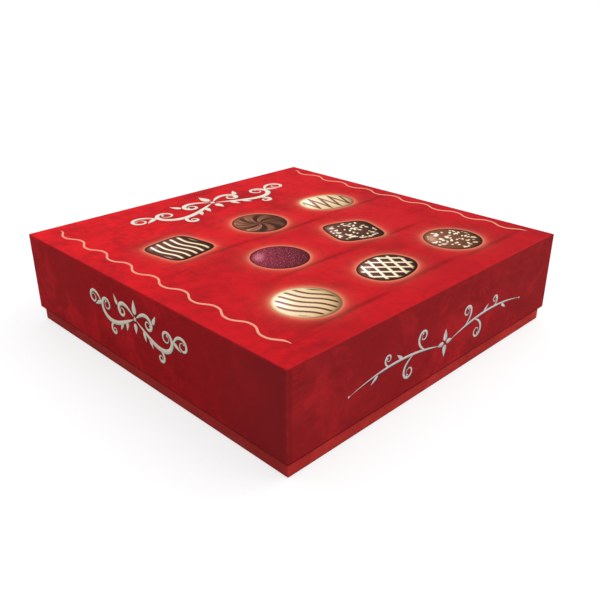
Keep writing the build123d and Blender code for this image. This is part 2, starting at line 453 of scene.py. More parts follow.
def lid_mesh():
    """The lid's cover: panel, walls, rim and hem, an ink's thickness inside the lid's outline."""
    cover = settings().cover
    low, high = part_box("lid_wrap")
    half, top, edge = high[0] - cover.ink, high[2] - cover.ink, low[2]
    inner = cover.fold + cover.ink - cover.wall
    rim = rim_profile(cover.fold, inner, edge, 1, cover.rim_fold)
    foot = rim[0][1] + np.array((1.0, 0.7, 0.4)) * cover.rim_line
    brow = top - cover.fold - cover.rim_line
    plain = steps_between(brow, foot[0], cover.wall_grid)
    wall = [top - cover.fold, brow, *plain, *foot[1:], rim[0][1]]
    profile = [(cover.fold, z) for z in wall] + rim[1:]
    profile += [(inner, z) for z in steps_between(rim[-1][1], edge + cover.hem, cover.wall_grid)]
    return paper_cover("lid_cover", half, profile, panel_top=top)


def base_mesh():
    """The base's cover: hem, rim, walls and the turn under the floor."""
    cover = settings().cover
    low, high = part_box("base_wrap")
    half, edge, bottom = high[0], high[2], low[2]
    inner = cover.fold - cover.wall
    rim = rim_profile(cover.fold, inner, edge, -1, cover.rim_fold)
    hem = [(inner, z) for z in steps_between(rim[-1][1], edge - cover.hem, cover.wall_grid)]
    profile = hem[::-1] + rim[::-1]
    wall = steps_between(rim[0][1], bottom + 2 * cover.fold, cover.wall_grid)
    profile += [(cover.fold, z) for z in wall]
    profile.append((cover.fold, bottom + cover.fold))
    for step in range(1, FOLD_STEPS + 1):
        angle = pi / 2 * step / FOLD_STEPS
        profile.append((cover.fold * cos(angle), bottom + cover.fold * (1 - sin(angle))))
    profile.append((cover.fold - cover.turn_under, bottom))
    return paper_cover("base_cover", half, profile)


# What the walls' dark and pale blotches leave of each band of the red, and the colours of the
# shade painted on walls and panel, of the shadow printed under the bonbons, of the edges' rubbing
# and painted highlight, and of the shade painted along the rim
BLOTCH_BANDS = (1.0, 1.52, 1.35)
PALE_BANDS = (1.0, 1.35, 1.29)
WALL_PAINTED_SHADE = (0.135, 0.0085, 0.0105)
PANEL_PAINTED_SHADE = (0.26, 0.0080, 0.0125)
BONBON_SHADE = (0.12, 0.005, 0.006)
RUB_AND_HIGHLIGHT_RED = (0.50, 0.030, 0.034)
RIM_SHADE_RED = (0.10, 0.003, 0.004)
# How much of each band the lid's and the base's walls keep in dark and in pale blotches, which
# paints the walls darker than the panel as shade, and the paler colour painted on them as light
LID_SHADES = (0.325, 0.545, (0.27, 0.038, 0.040))
BASE_SHADES = (0.46, 0.65, (0.42, 0.050, 0.040))


def printed_paper(name, wall_shade, wall_pale, greyed):
    """Red paper printed with a mottled ground: soft clouds, fine flecks, a glow and soft shadows
    round the bonbons, blotched walls painted darker as shade, a paler grey painted as light on the
    walls that face the lamp, shade painted on walls and panel, a rim painted darker as shade, and
    edges painted redder, partly as rubbing and partly as a painted highlight."""
    ornament = settings().ornament
    red, deep_red = ornament.red, ornament.deep_red
    finish = Finish(name, roughness=0.46, specular=0.004, ground=red)
    clouds = finish.cloud(22.0, detail=5.0, rough=0.62, distortion=0.5)
    streaks = finish.cloud(70.0, detail=6.0, rough=0.72, stretch=(0.45, 1.0, 1.0))
    flecks = finish.cloud(240.0, detail=4.0, rough=0.7)
    brush = finish.cloud(150.0, detail=5.0, rough=0.75, stretch=(1.0, 0.30, 1.0))
    smudge = finish.cloud(46.0, detail=8.0, rough=0.78, stretch=(0.6, 1.0, 1.0), distortion=0.3)
    patches = finish.cloud(38.0, detail=7.0, rough=0.70, distortion=0.45)
    fine = flecks.spread(0.46, 0.62) * brush.spread(0.42, 0.58)
    wisps = (streaks - 0.5).sum("ABSOLUTE").spread(0.030, 0.0) * clouds.spread(0.40, 0.60)
    finish.stain(clouds.spread(0.42, 0.64) * streaks.spread(0.40, 0.60) * 0.80, deep_red)
    finish.stain(smudge.spread(0.55, 0.66) * clouds.spread(0.35, 0.55) * 0.55, deep_red)
    finish.stain(fine * 0.55, deep_red)
    finish.stain(wisps * 0.30, deep_red)

    # Painted shade: the walls take a darker copy of the red than the panel, blotched as printed
    blotches = patches.spread(0.49, 0.66).sum("MAXIMUM", wisps * 0.75)
    shade_and_blotches = finish.mixed(blotches, tinted(BLOTCH_BANDS, wall_shade), tinted(PALE_BANDS, wall_pale))
    walls = finish.mixed(1.0, finish.mixed(0.6, finish.ground, red), shade_and_blotches, blend="MULTIPLY")
    # Painted shade on the walls and across the panel
    dusk = finish.painted("dusk")
    walls = finish.mixed(dusk, walls, WALL_PAINTED_SHADE)
    # Painted light: a paler, greyer red on the walls that face the lamp, blotched and flecked
    painted_light_grey = finish.mixed(patches.spread(0.40, 0.62), tinted(greyed, 0.66), greyed)
    painted_light_grey = finish.mixed(fine * 0.35, painted_light_grey, deep_red)
    finish.stain(dusk * 0.65, PANEL_PAINTED_SHADE)
    finish.stain(finish.painted("wall"), finish.mixed(finish.painted("grey"), walls, painted_light_grey))

    finish.stain(finish.painted("shade") * 0.7, BONBON_SHADE)
    finish.stain(finish.painted("glow"), ornament.glow)
    # Edges painted redder: partly rubbing, partly a painted highlight along the folds
    finish.stain(finish.painted("edge") * flecks.spread(0.35, 0.65) * 0.38, RUB_AND_HIGHLIGHT_RED)
    # Painted shade: darker along the fold at the lid's rim and along the base's bottom edge
    finish.stain(finish.painted("rim") * 0.75, RIM_SHADE_RED)
    finish.uneven(clouds.spread(0.3, 0.7), 0.42, 0.54)
    finish.paper_grain(0.35)
    finish.bump(finish.cloud(90.0, detail=2.0), 0.05 * MM, 0.30)
    return finish


# How far in from a wall's face its tone holds before it runs out, and how wide the bands at the
# lid's and the base's edges are that are painted redder, partly as rubbing and partly as a painted
# highlight; the shade painted along the base's bottom is as wide
FACE_DEPTH, FACE_BLEND = 3 * MM, 2 * MM
LID_EDGE_BAND, BASE_EDGE_BAND = 0.8 * MM, 0.6 * MM
# Shade painted on the lid's left and front walls: its share all along, what their near end adds,
# and how far that reaches. On the panel: its share in the middle, and what 100 mm to the right and
# back add.
LEFT_PAINTED_SHADE = (0.14, 0.80, 42 * MM)
FRONT_PAINTED_SHADE = (0.16, 0.14, 60 * MM)
MIDDLE_PAINTED_SHADE, PAINTED_SHADE_SLOPE = 0.54, (0.17, -0.29)
# Painted shade on the base's left wall
BASE_PAINTED_SHADE = 0.80
# Share of the paler, greyer red painted as light on the lid's front and right walls, which face the
# lamp, on the base's left wall and on its others
LID_GREY = 0.14
BASE_LEFT_GREY, BASE_GREY = 0.33, 0.50


def on_face(gap):
    """How far places count as being on a wall's face, from their gap to it."""
    return np.clip((FACE_DEPTH - gap) / FACE_BLEND, 0.0, 1.0)


def painted_shade_along(gap, share, added, reach):
    """Shade painted on a wall at a gap from its near end."""
    return share + added * np.exp(-((gap / reach) ** 2))


def lid_tones(points):
    """Where the lid's paper is wall, has the printed glow and shadow, is painted redder at the
    edges as rubbing and highlight, darker at the rim as shade, paler grey as light, or with shade.
    """
    cover = settings().cover
    low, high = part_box("lid_wrap")
    x, y, z = points.T
    on_panel = z > high[2] - 2 * cover.fold
    on_left = on_face(x - low[0]) * ~on_panel
    on_front = on_face(y - low[1]) * ~on_panel * (on_left == 0)
    on_right = on_face(high[0] - x) * ~on_panel
    glow, shade = bonbon_light(x / MM, y / MM)
    corner = np.sort(np.column_stack([high[0] - np.abs(x), high[1] - np.abs(y), high[2] - z]))[:, 1]
    outer = np.maximum(np.abs(x), np.abs(y)) > high[0] - 2 * MM
    # Painted shade, darker towards the near ends of the left and front walls and across the panel
    dusk = on_left * painted_shade_along(y - low[1], *LEFT_PAINTED_SHADE)
    dusk += on_front * painted_shade_along(x - low[0], *FRONT_PAINTED_SHADE)
    slope = (PAINTED_SHADE_SLOPE[0] * x + PAINTED_SHADE_SLOPE[1] * y) / (100 * MM)
    dusk += on_panel * np.clip(MIDDLE_PAINTED_SHADE + slope, 0.0, 1.0)
    # The edges are painted redder as rubbing and highlight, the rim darker as shade, the walls
    # facing the lamp paler grey as light, and shade is painted on walls and panel
    return {
        "wall": np.clip((high[2] - cover.ink - z) / cover.fold, 0.0, 1.0),
        "glow": glow * on_panel,
        "shade": shade * on_panel,
        "edge": np.clip(1 - corner / LID_EDGE_BAND, 0.0, 1.0) * outer,
        "rim": np.clip(2.2 - 2.6 * (z - low[2] - cover.rim_fold) / cover.rim_line, 0.0, 1.0),
        "grey": LID_GREY * np.maximum(on_front, on_right),
        "dusk": dusk,
    }


def base_tones(points):
    """The same for the base's paper, which is all wall and lies in the lid's shade."""
    low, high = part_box("base_wrap")
    x, y, z = points.T
    on_left = x < -np.abs(y)
    corner = np.hypot(high[0] - np.abs(x), high[1] - np.abs(y))
    none = np.zeros(len(points))
    # The edges painted redder as rubbing and highlight, the bottom darker as shade, the walls paler
    # grey as light, less on the left, and the left wall painted with shade
    return {
        "wall": none + 1.0,
        "glow": none,
        "shade": none,
        "edge": np.clip(1.4 - corner / BASE_EDGE_BAND, 0.0, 1.0),
        "rim": np.clip(1.3 - (z - low[2]) / BASE_EDGE_BAND, 0.0, 0.8),
        "grey": np.where(on_left, BASE_LEFT_GREY, BASE_GREY),
        "dusk": BASE_PAINTED_SHADE * on_left,
    }


class ChocolateBoxCovers(bpy.types.Operator):
    """Wrap lid and base in printed paper that is turned in over their rims"""
    bl_idname = "chocolate_box.covers"
    bl_label = "Paper covers"

    def execute(self, context):
        for body, make_mesh, tones, shades in (("lid", lid_mesh, lid_tones, LID_SHADES),
                                               ("base", base_mesh, base_tones, BASE_SHADES)):
            finish = printed_paper(f"printed_{body}_paper", *shades)
            cover = add_object(f"{body}_cover", make_mesh(), finish)
            thicken(cover, settings().cover.paper)
            paint(cover.data, **tones(places(cover.data)))
            seat(cover, body, "printed_paper", f"{body}_wrap")
        return {"FINISHED"}


# Printed bonbons, seen from above, in three staggered rows on the lid's panel. Millimetres.
# Coating, topping, half width, half depth, squareness, turn in degrees, and place across and up.

BONBON_COLUMN = 55.0
BONBON_ROW = 45.5
BONBON_MIDDLE = -20.0
BONBONS = (
    ("dark", "stripes", 14.5, 14.5, 4.5, 8.0, -1.0, 1.0),
    ("milk", "rosette", 15.5, 15.5, 2.0, 0.0, 0.0, 1.0),
    ("ivory", "zigzag", 17.0, 13.5, 2.4, -14.0, 1.0, 1.0),
    ("ruby", "dust", 15.0, 15.0, 2.0, 0.0, -0.5, 0.0),
    ("dark", "crumbs", 14.5, 14.5, 4.0, -20.0, 0.5, 0.0),
    ("ivory", "stripes", 15.5, 15.5, 2.0, 25.0, -1.0, -1.0),
    ("dark", "lattice", 17.0, 13.0, 2.3, 10.0, 0.0, -1.0),
    ("milk", "crumbs", 15.5, 15.5, 2.0, 0.0, 1.0, -1.0),
)
# Vertices along a side of the grid that each is drawn on, and its depth in shares of the ink
PRINT_SIDE, PLATE_DEPTH = 91, 0.9
# The glow round a bonbon: how far inside its outline it starts, the strength, reach and fall of its
# close part, and the strength and reach of its wide part
GLOW_START = 0.3
CLOSE_GLOW = (0.50, 1.5, 1.3)
WIDE_GLOW = (0.13, 4.0)
# Where the shadow printed under a bonbon falls, and how far it spreads across and up
SHADE_PLACE = (8.0, -3.0)
SHADE_SPREAD = (27.0, 1.3)


def bonbon_place(bonbon):
    """The middle of a printed bonbon on the panel."""
    return BONBON_COLUMN * bonbon[6], BONBON_MIDDLE + BONBON_ROW * bonbon[7]


def bonbon_reach(bonbon, angle):
    """How far a printed bonbon's outline reaches in a direction of its own."""
    half_width, half_depth, squareness = bonbon[2:5]
    across = np.abs(np.cos(angle) / half_width) ** squareness
    return (across + np.abs(np.sin(angle) / half_depth) ** squareness) ** (-1 / squareness)


def turned(x, y, degrees):
    """Places turned about the origin."""
    angle = radians(degrees)
    return x * cos(angle) + y * sin(angle), y * cos(angle) - x * sin(angle)


def bonbon_light(x, y):
    """The glow close round each bonbon and the soft shadow that falls from it."""
    glow, shade = np.zeros(len(x)), np.zeros(len(x))
    for bonbon in BONBONS:
        middle = bonbon_place(bonbon)
        u, v = turned(x - middle[0], y - middle[1], bonbon[5])
        gap = np.hypot(u, v) - bonbon_reach(bonbon, np.arctan2(v, u))
        near = np.maximum(gap + GLOW_START, 0.0)
        close = CLOSE_GLOW[0] * np.exp(-((near / CLOSE_GLOW[1]) ** CLOSE_GLOW[2]))
        glow = np.maximum(glow, close + WIDE_GLOW[0] * np.exp(-near / WIDE_GLOW[1]))
        u, v = x - middle[0] - SHADE_PLACE[0], y - middle[1] + bonbon[3] - SHADE_PLACE[1]
        fall = (u / SHADE_SPREAD[0]) ** 4
        shade = np.maximum(shade, np.exp(-fall - (v / SHADE_SPREAD[1]) ** 2))
    return glow, shade


# Colours of the printed coatings from shadow to highlight, and where the ink of each begins
COATING_STOPS = (0.0, 0.35, 0.70, 1.0)
COATINGS = {
    "dark": ((0.018, 0.005, 0.003), (0.052, 0.016, 0.009), (0.15, 0.05, 0.036), (0.40, 0.20, 0.16)),
    "milk": ((0.03, 0.009, 0.004), (0.105, 0.033, 0.016), (0.24, 0.086, 0.046), (0.50, 0.27, 0.18)),
    "ruby": ((0.04, 0.004, 0.006), (0.10, 0.007, 0.016), (0.27, 0.022, 0.05), (0.66, 0.22, 0.28)),
    "ivory": ((0.17, 0.08, 0.03), (0.64, 0.45, 0.24), (0.90, 0.78, 0.56), (1.0, 0.97, 0.88)),
}
# The light that the pictures are drawn in: its direction, its least, what it adds where it falls,
# its highlight and how sharp that is, and how much darker the bonbons' rims are
PRINT_LIGHT = (-0.52, 0.50, 0.69)
AMBIENT, DIFFUSE, HIGHLIGHT, SHARPNESS = 0.05, 0.62, 0.40, 42
RIM_DIM = 0.55
PRINT_DEPTH = 6.5
PROBE = 0.12
LINE_PITCH = 4.6
LINE_HALF_WIDTH = 0.75
LINE_SOFTNESS = 0.4
LINE_RISE = 0.8
# Printed crumbs: how many, how far out they lie, and the smallest half length and half width with
# what the largest have more
CRUMBS = 64
CRUMB_REACH = 14.0
CRUMB_LENGTH, CRUMB_WIDTH = (0.7, 0.9), (0.45, 0.35)


def drawn_line(gap):
    """How far a drawn line covers a place, from the gap to its middle."""
    return np.clip((LINE_HALF_WIDTH - gap) / LINE_SOFTNESS + 0.5, 0.0, 1.0)


def gap_to_rows(value, pitch):
    """The gap to the nearest of evenly spaced rows."""
    return np.abs((value + pitch / 2) % pitch - pitch / 2)


def crumb_picture(u, v, seed, share):
    """How far scattered crumbs cover a place."""
    random = np.random.RandomState(seed)
    cover = np.zeros_like(u)
    for _ in range(CRUMBS):
        reach, angle, size, turn = random.uniform(0, 1, 4)
        reach = CRUMB_REACH * sqrt(reach)
        x, y = reach * cos(tau * angle), reach * sin(tau * angle)
        along, across = turned(u - x, v - y, 180 * turn)
        length = CRUMB_LENGTH[0] + CRUMB_LENGTH[1] * size
        width = CRUMB_WIDTH[0] + CRUMB_WIDTH[1] * size
        gap = np.hypot(along / length, across / width)
        cover = np.maximum(cover, np.clip((1.15 - gap) / 0.4, 0.0, 1.0))
    return cover * (share < 0.86)


def bonbon_picture(bonbon, u, v):
    """Height of a bonbon's picture and how far its topping covers it, in the bonbon's own frame."""
    topping = bonbon[1]
    angle = np.arctan2(v, u)
    share = np.hypot(u, v) / bonbon_reach(bonbon, angle)
    height = PRINT_DEPTH * np.sqrt(np.clip(1.02 - share ** (1.4 + 0.5 * bonbon[4]), 0.0, 1.0))
    inside = np.clip((0.90 - share) / 0.06, 0.0, 1.0)
    cover = np.zeros_like(u)
    if topping == "stripes":
        cover = drawn_line(gap_to_rows(u + 0.8 * np.sin(0.30 * v + 0.5), LINE_PITCH)) * inside
    elif topping == "zigzag":
        swing = 2 * np.abs(2 * ((u / (1.5 * LINE_PITCH)) % 1.0) - 1) - 1
        cover = drawn_line(np.abs(v - 9.0 * swing) * 0.19) * inside
    elif topping == "lattice":
        for side in (0.6, -0.6):
            gap = gap_to_rows(0.8 * u + side * v, 1.25 * LINE_PITCH)
            cover = np.maximum(cover, drawn_line(gap) * inside)
    elif topping == "rosette":
        swirl = 1.5 * np.cos(7 * angle + 5.5 * share)
        height = height + swirl * np.clip(share * (1.1 - share) * 4, 0.0, 1.0)
    elif topping == "crumbs":
        cover = crumb_picture(u, v, int(bonbon[5]) + 40, share)
    elif topping == "dust":
        grain = [noise.noise(Vector((x * 1.7, y * 1.7, 3.0))) for x, y in zip(u, v)]
        cover = np.clip(np.array(grain) * 2.2 - 0.25, 0.0, 0.75)
    return height + LINE_RISE * cover, cover, share


def coating_colour(coating, light):
    """The colour of a printed coating under an amount of light."""
    stops = np.array(COATINGS[coating])
    return np.column_stack([np.interp(light, COATING_STOPS, stops[:, band]) for band in range(3)])


def painted_bonbon(bonbon, u, v):
    """The picture's colours at places in the bonbon's own frame, lit from the upper left."""
    height, cover, share = bonbon_picture(bonbon, u, v)
    slope_u = (bonbon_picture(bonbon, u + PROBE, v)[0] - height) / PROBE
    slope_v = (bonbon_picture(bonbon, u, v + PROBE)[0] - height) / PROBE
    across, up, overhead = *turned(PRINT_LIGHT[0], PRINT_LIGHT[1], bonbon[5]), PRINT_LIGHT[2]
    size = np.sqrt(slope_u**2 + slope_v**2 + 1)
    facing = np.clip((overhead - slope_u * across - slope_v * up) / size, 0.0, 1.0)
    halfway = sqrt(across**2 + up**2 + (overhead + 1) ** 2)
    gloss = (overhead + 1 - slope_u * across - slope_v * up) / size / halfway
    light = AMBIENT + DIFFUSE * facing + HIGHLIGHT * np.clip(gloss, 0.0, 1.0) ** SHARPNESS
    light *= 1 - RIM_DIM * np.clip((share - 0.90) / 0.08, 0.0, 1.0)
    topping = {"ivory": "dark", "ruby": "ruby"}.get(bonbon[0], "ivory")
    topped = coating_colour(topping, light + (0.45 if topping == "ruby" else 0.25))
    return coating_colour(bonbon[0], light) * (1 - cover[:, None]) + topped * cover[:, None]


def disc_grid():
    """Angles and shares of the way out for a square grid spread evenly over a disc."""
    a, b = np.meshgrid(np.linspace(-1, 1, PRINT_SIDE), np.linspace(-1, 1, PRINT_SIDE))
    wide = a**2 > b**2
    reach = np.where(wide, a, b)
    lean = np.where(wide, b, a) / np.where(reach == 0, 1, reach)
    angle = np.where(wide, pi / 4 * lean, pi / 2 - pi / 4 * lean) + np.where(reach < 0, pi, 0)
    return angle.ravel(), np.abs(reach).ravel()


def bonbon_print_mesh(top):
    """The printed bonbons: thin closed plates, with their colours painted on the vertices."""
    ink = settings().cover.ink
    angle, share = disc_grid()
    quads, rim = square_grid(PRINT_SIDE)
    vertices, faces, colours = [], [], []
    for bonbon in BONBONS:
        start = len(vertices)
        reach = bonbon_reach(bonbon, angle) * share
        u, v = reach * np.cos(angle), reach * np.sin(angle)
        middle = bonbon_place(bonbon)
        x, y = turned(u, v, -bonbon[5])
        upper = np.column_stack([(x + middle[0]) * MM, (y + middle[1]) * MM, np.full(len(x), top)])
        colour = painted_bonbon(bonbon, u, v)
        vertices.extend(np.concatenate([upper, upper[rim] - np.array([0, 0, PLATE_DEPTH * ink])]))
        colours.extend(np.concatenate([colour, colour[rim]]))
        faces.extend(tuple(start + corner for corner in quad) for quad in quads)
        foot = [start + PRINT_SIDE**2 + step for step in range(len(rim))]
        faces += band([start + corner for corner in rim], foot)
        faces.append(tuple(reversed(foot)))
    mesh = smooth(raw_mesh("bonbon_print", vertices, faces))
    layer = mesh.color_attributes.new(name="print", type="FLOAT_COLOR", domain="POINT")
    layer.data.foreach_set("color", np.column_stack([colours, np.ones(len(colours))]).ravel())
    return mesh


# Scrolls, in millimetres, drawn on one half of an ornament and mirrored. Each pen line has its
# start across and up, its heading, length, turns, how late it tightens, and its widest stroke.

PANEL_SCROLLS = (
    (1.6, -1.0, -28.0, 66.0, 1.55, 3.2, 3.0),
    (1.4, 1.0, 38.0, 36.0, -1.40, 2.2, 2.5),
    (20.0, -8.9, -20.0, 25.0, -1.42, 2.3, 1.9),
    (36.6, -3.4, 62.0, 34.0, -1.30, 1.9, 2.0),
)
# Each leaf has its start across and up, its heading, length and widest stroke.
PANEL_LEAVES = (
    (8.6, -4.9, -78.0, 6.8, 2.8),
    (14.2, -7.6, -64.0, 6.4, 2.6),
    (37.6, -1.0, -28.0, 8.0, 2.6),
    (18.5, 3.0, 62.0, 7.0, 2.7),
    (0.0, 2.8, 90.0, 9.5, 4.2),
    (0.0, -3.0, 270.0, 7.0, 3.5),
    (0.0, -1.5, 90.0, 3.2, 2.3),
)
FRONT_SCROLLS = (
    (5.0, 0.0, 16.0, 60.0, -0.085, 1.0, 1.2),
    (15.0, 2.4, 34.0, 24.0, 1.35, 2.0, 1.3),
    (23.0, 3.6, -24.0, 26.0, -1.35, 2.0, 1.3),
    (39.0, 4.0, 24.0, 15.0, 1.25, 1.8, 1.0),
)
FRONT_LEAVES = (
    (0.0, 1.0, 90.0, 6.0, 2.8),
    (0.0, -1.0, 270.0, 6.0, 2.8),
    (1.0, 0.0, 0.0, 4.6, 2.3),
    (47.0, 3.2, -34.0, 5.0, 1.4),
    (31.0, 4.4, 40.0, 5.0, 1.5),
)
# Each ornament's pen lines and leaves, its scale, its directions across, up and outwards, its place
# from the middle of its face, and its ink's colour, kind, roughness and relief: how much darker its
# strokes are painted on their unlit side
ORNAMENTS = {
    "panel": (PANEL_SCROLLS, PANEL_LEAVES, 1.12, (1, 0, 0), (0, 1, 0), (0, 0, 1), (5.0, 74.0, 0.0),
              "ivory", "ink", 0.42, 0.25),
    "left": (PANEL_SCROLLS, PANEL_LEAVES, 0.78, (0, -1, 0), (0, 0, 1), (-1, 0, 0), (0.0, 0.0, 6.0),
             "stone", "ink", 0.45, 0.40),
    "front": (FRONT_SCROLLS, FRONT_LEAVES, 1.05, (1, 0, 0), (0, 0, 1), (0, -1, 0), (2.0, 0.0, -7.0),
              "silver", "foil", 0.32, 0.60),
}
PEN_STEPS = 72
LEAF_STEPS = 20
# How pen lines and leaves swell along their length, and their least share or half width; and beads:
# least radius, radius in half widths of the pen line's end, and the angle left open at each end
PEN_SWELL, PEN_LEAST = (0.75, 0.9), 0.16
LEAF_SWELL, LEAF_LEAST = 0.6, 0.03
BEAD_LEAST, BEAD_SHARE, BEAD_END = 0.50, 3.0, 0.02
# The side that the drawn strokes are lit from, where the shadow printed under them falls, the value
# painted on that shadow, and its colour
STROKE_LIGHT = (-0.6, 0.8)
STROKE_SHADOW = (0.35 * MM, -0.45 * MM)
SHADOW_MARK = -3.0
STROKE_SHADE = (0.055, 0.003, 0.005)
# Heights in shares of the ink: of the shadows' tops, what the strokes' tops have more, how much
# lower each stroke lies than the one before, and of their undersides
SHADOW_TOP, STROKE_MORE, STROKE_STEP, STROKE_FOOT = 0.55, 0.45, 0.012, 0.1


def pen_line(scroll):
    """A pen line that sets off straight and winds up towards its end, and its half widths."""
    across, up, heading, length, turns, lateness, widest = scroll
    share = np.linspace(0.0, 1.0, PEN_STEPS)
    angle = radians(heading) + tau * turns * share**lateness
    steps = [np.concatenate([[0.0], np.cumsum(way)[:-1]]) for way in (np.cos(angle), np.sin(angle))]
    line = np.array((across, up)) + length / (PEN_STEPS - 1) * np.column_stack(steps)
    swell = np.sin(pi * share ** PEN_SWELL[0]) ** PEN_SWELL[1]
    return line, 0.5 * widest * np.maximum(swell, PEN_LEAST)


def leaf_line(leaf):
    """A leaf's middle line and its half widths."""
    across, up, heading, length, widest = leaf
    share = np.linspace(0.0, 1.0, LEAF_STEPS)
    line = np.column_stack([across + length * share * cos(radians(heading)),
                            up + length * share * sin(radians(heading))])
    return line, 0.5 * widest * np.sin(pi * share**LEAF_SWELL) + LEAF_LEAST


def bead_line(line, half):
    """The round end of a pen line."""
    reach = max(BEAD_LEAST, BEAD_SHARE * half[-1])
    angle = np.linspace(BEAD_END, pi - BEAD_END, LEAF_STEPS)
    beads = line[-1] + np.column_stack([-reach * np.cos(angle), np.zeros(LEAF_STEPS)])
    return beads, reach * np.sin(angle)


def ornament_mesh(name, scrolls, leaves, scale, across, up, outward, middle):
    """A mirrored ornament of pen lines, leaves and beads, laid on a face of the box."""
    ink = settings().cover.ink
    lines = []
    for scroll in scrolls:
        line, half = pen_line(scroll)
        lines += [(line, half), bead_line(line, half)]
    lines += [leaf_line(leaf) for leaf in leaves]
    vertices, faces, lit = [], [], []
    for side, layer in ((1, 0), (-1, 0), (1, 1), (-1, 1)):
        for number, (line, half) in enumerate(lines):
            if side < 0 and np.abs(line[:, 0]).max() < 0.01:
                continue
            along = np.gradient(line, axis=0)
            along /= np.hypot(along[:, 0], along[:, 1])[:, None]
            beside = np.column_stack([-along[:, 1], along[:, 0]])
            facing = side * beside[:, 0] * STROKE_LIGHT[0] + beside[:, 1] * STROKE_LIGHT[1]
            beside = beside * half[:, None]
            order = number + (side < 0) / 2
            height = ink * (SHADOW_TOP + STROKE_MORE * layer - STROKE_STEP * order)
            foot = STROKE_FOOT * ink
            sections = [(line + beside, height, facing), (line - beside, height, -facing),
                        (line - beside, foot, -facing), (line + beside, foot, facing)]
            start, count = len(vertices), len(line)
            for spots, level, brightness in sections:
                x = side * scale * MM * spots[:, 0] + (1 - layer) * STROKE_SHADOW[0]
                y = scale * MM * spots[:, 1] + (1 - layer) * STROKE_SHADOW[1]
                flat = middle + np.outer(x, across) + np.outer(y, up)
                vertices.extend(flat + level * np.array(outward))
                lit.extend(brightness if layer else np.full(count, SHADOW_MARK))
            rows = [[start + row * count + step for step in range(count)] for row in range(4)]
            for row, other in zip(rows, rows[1:] + rows[:1]):
                faces.extend((row[i], row[i + 1], other[i + 1], other[i]) for i in range(count - 1))
            faces += [tuple(row[0] for row in rows), tuple(row[-1] for row in reversed(rows))]
    mesh = raw_mesh(name, vertices, faces)
    work = bmesh.new()
    work.from_mesh(mesh)
    bmesh.ops.recalc_face_normals(work, faces=work.faces)
    work.to_mesh(mesh)
    work.free()
    paint(mesh, lit=lit)
    mesh.shade_flat()
    return mesh


# Pieces grown by node trees

class Grower:
    """A geometry node tree in the making. Its inputs are plain numbers, others and a material."""

    def __init__(self, name, *numbers, **others):
        self.tree = bpy.data.node_groups.new(name, "GeometryNodeTree")
        self.tree.is_modifier = True
        kinds = {"Geometry": "NodeSocketGeometry", **dict.fromkeys(numbers, "NodeSocketFloat"),
                 **others, "Material": "NodeSocketMaterial"}
        sockets = self.tree.interface
        for label, kind in kinds.items():
            sockets.new_socket(label, in_out="INPUT", socket_type=kind)
        sockets.new_socket("Geometry", in_out="OUTPUT", socket_type="NodeSocketGeometry")
        inputs = wire(self.tree, "NodeGroupInput")
        self.given = {label: Value(inputs, label) for label in kinds}

    def add(self, kind, inputs=None, output=0, **properties):
        """Adds a node and returns what it gives."""
        return Value(wire(self.tree, kind, inputs, **properties), output)

    def vector(self, x=0.0, y=0.0, z=0.0):
        """A vector from three values."""
        return self.add("ShaderNodeCombineXYZ", {0: x, 1: y, 2: z})

    def coordinate(self, axis):
        """One coordinate of each point, numbered from X."""
        position = self.add("GeometryNodeInputPosition")
        return self.add("ShaderNodeSeparateXYZ", {0: position}, output=axis)

    def line(self, count, ends=None):
        """A straight line with a number of points."""
        line = self.add("GeometryNodeCurvePrimitiveLine", ends)
        return self.add("GeometryNodeResampleCurve", {"Curve": line, "Count": count})

    def share(self):
        """The share of the way along a line."""
        return self.add("GeometryNodeSplineParameter", output="Factor")

    def taper(self, sharpness, power):
        """A width that runs out at both ends of a line."""
        share = self.share()
        ending = share.sum("MINIMUM", 1.0 - share) * sharpness
        return ending.sum("MINIMUM", 1.0).sum("POWER", power)

    def sweep(self, line, section, scale):
        """Ends the tree with a section swept along a line and closed at its ends."""
        swept = {"Curve": line, "Profile Curve": section, "Scale": scale, "Fill Caps": True}
        self.finish(self.add("GeometryNodeCurveToMesh", swept))

    def finish(self, geometry):
        """Ends the tree with real geometry in one material."""
        real = self.add("GeometryNodeRealizeInstances", {0: geometry})
        dressed = {"Geometry": real, "Material": self.given["Material"]}
        wire(self.tree, "NodeGroupOutput", {0: self.add("GeometryNodeSetMaterial", dressed)})

    def grow(self, name, ground=None, **values):
        """Runs the tree on a mesh and returns what it makes as a plain mesh."""
        piece = add_object(name, (ground or bpy.data.meshes.new(name)).copy())
        modifier = piece.modifiers.new(name, "NODES")
        modifier.node_group = self.tree
        for item in self.tree.interface.items_tree:
            if item.in_out == "INPUT" and item.name in values:
                modifier[item.identifier] = values[item.name]
        settle(piece)
        mesh = piece.data
        bpy.data.objects.remove(piece)
        return mesh


# The wavy lines at the two sides of the panel: place across, height of the wave and shift along
WAVES = ((-87.2, 2.0, 0.0), (92.0, 2.0, 0.6))
WAVE_FLATNESS = 0.056
WAVE_LENGTH_ALONG = 179.5
WAVE_MIDDLE = 2.4
WAVE_START = 80.85
WAVE_POINTS = 360


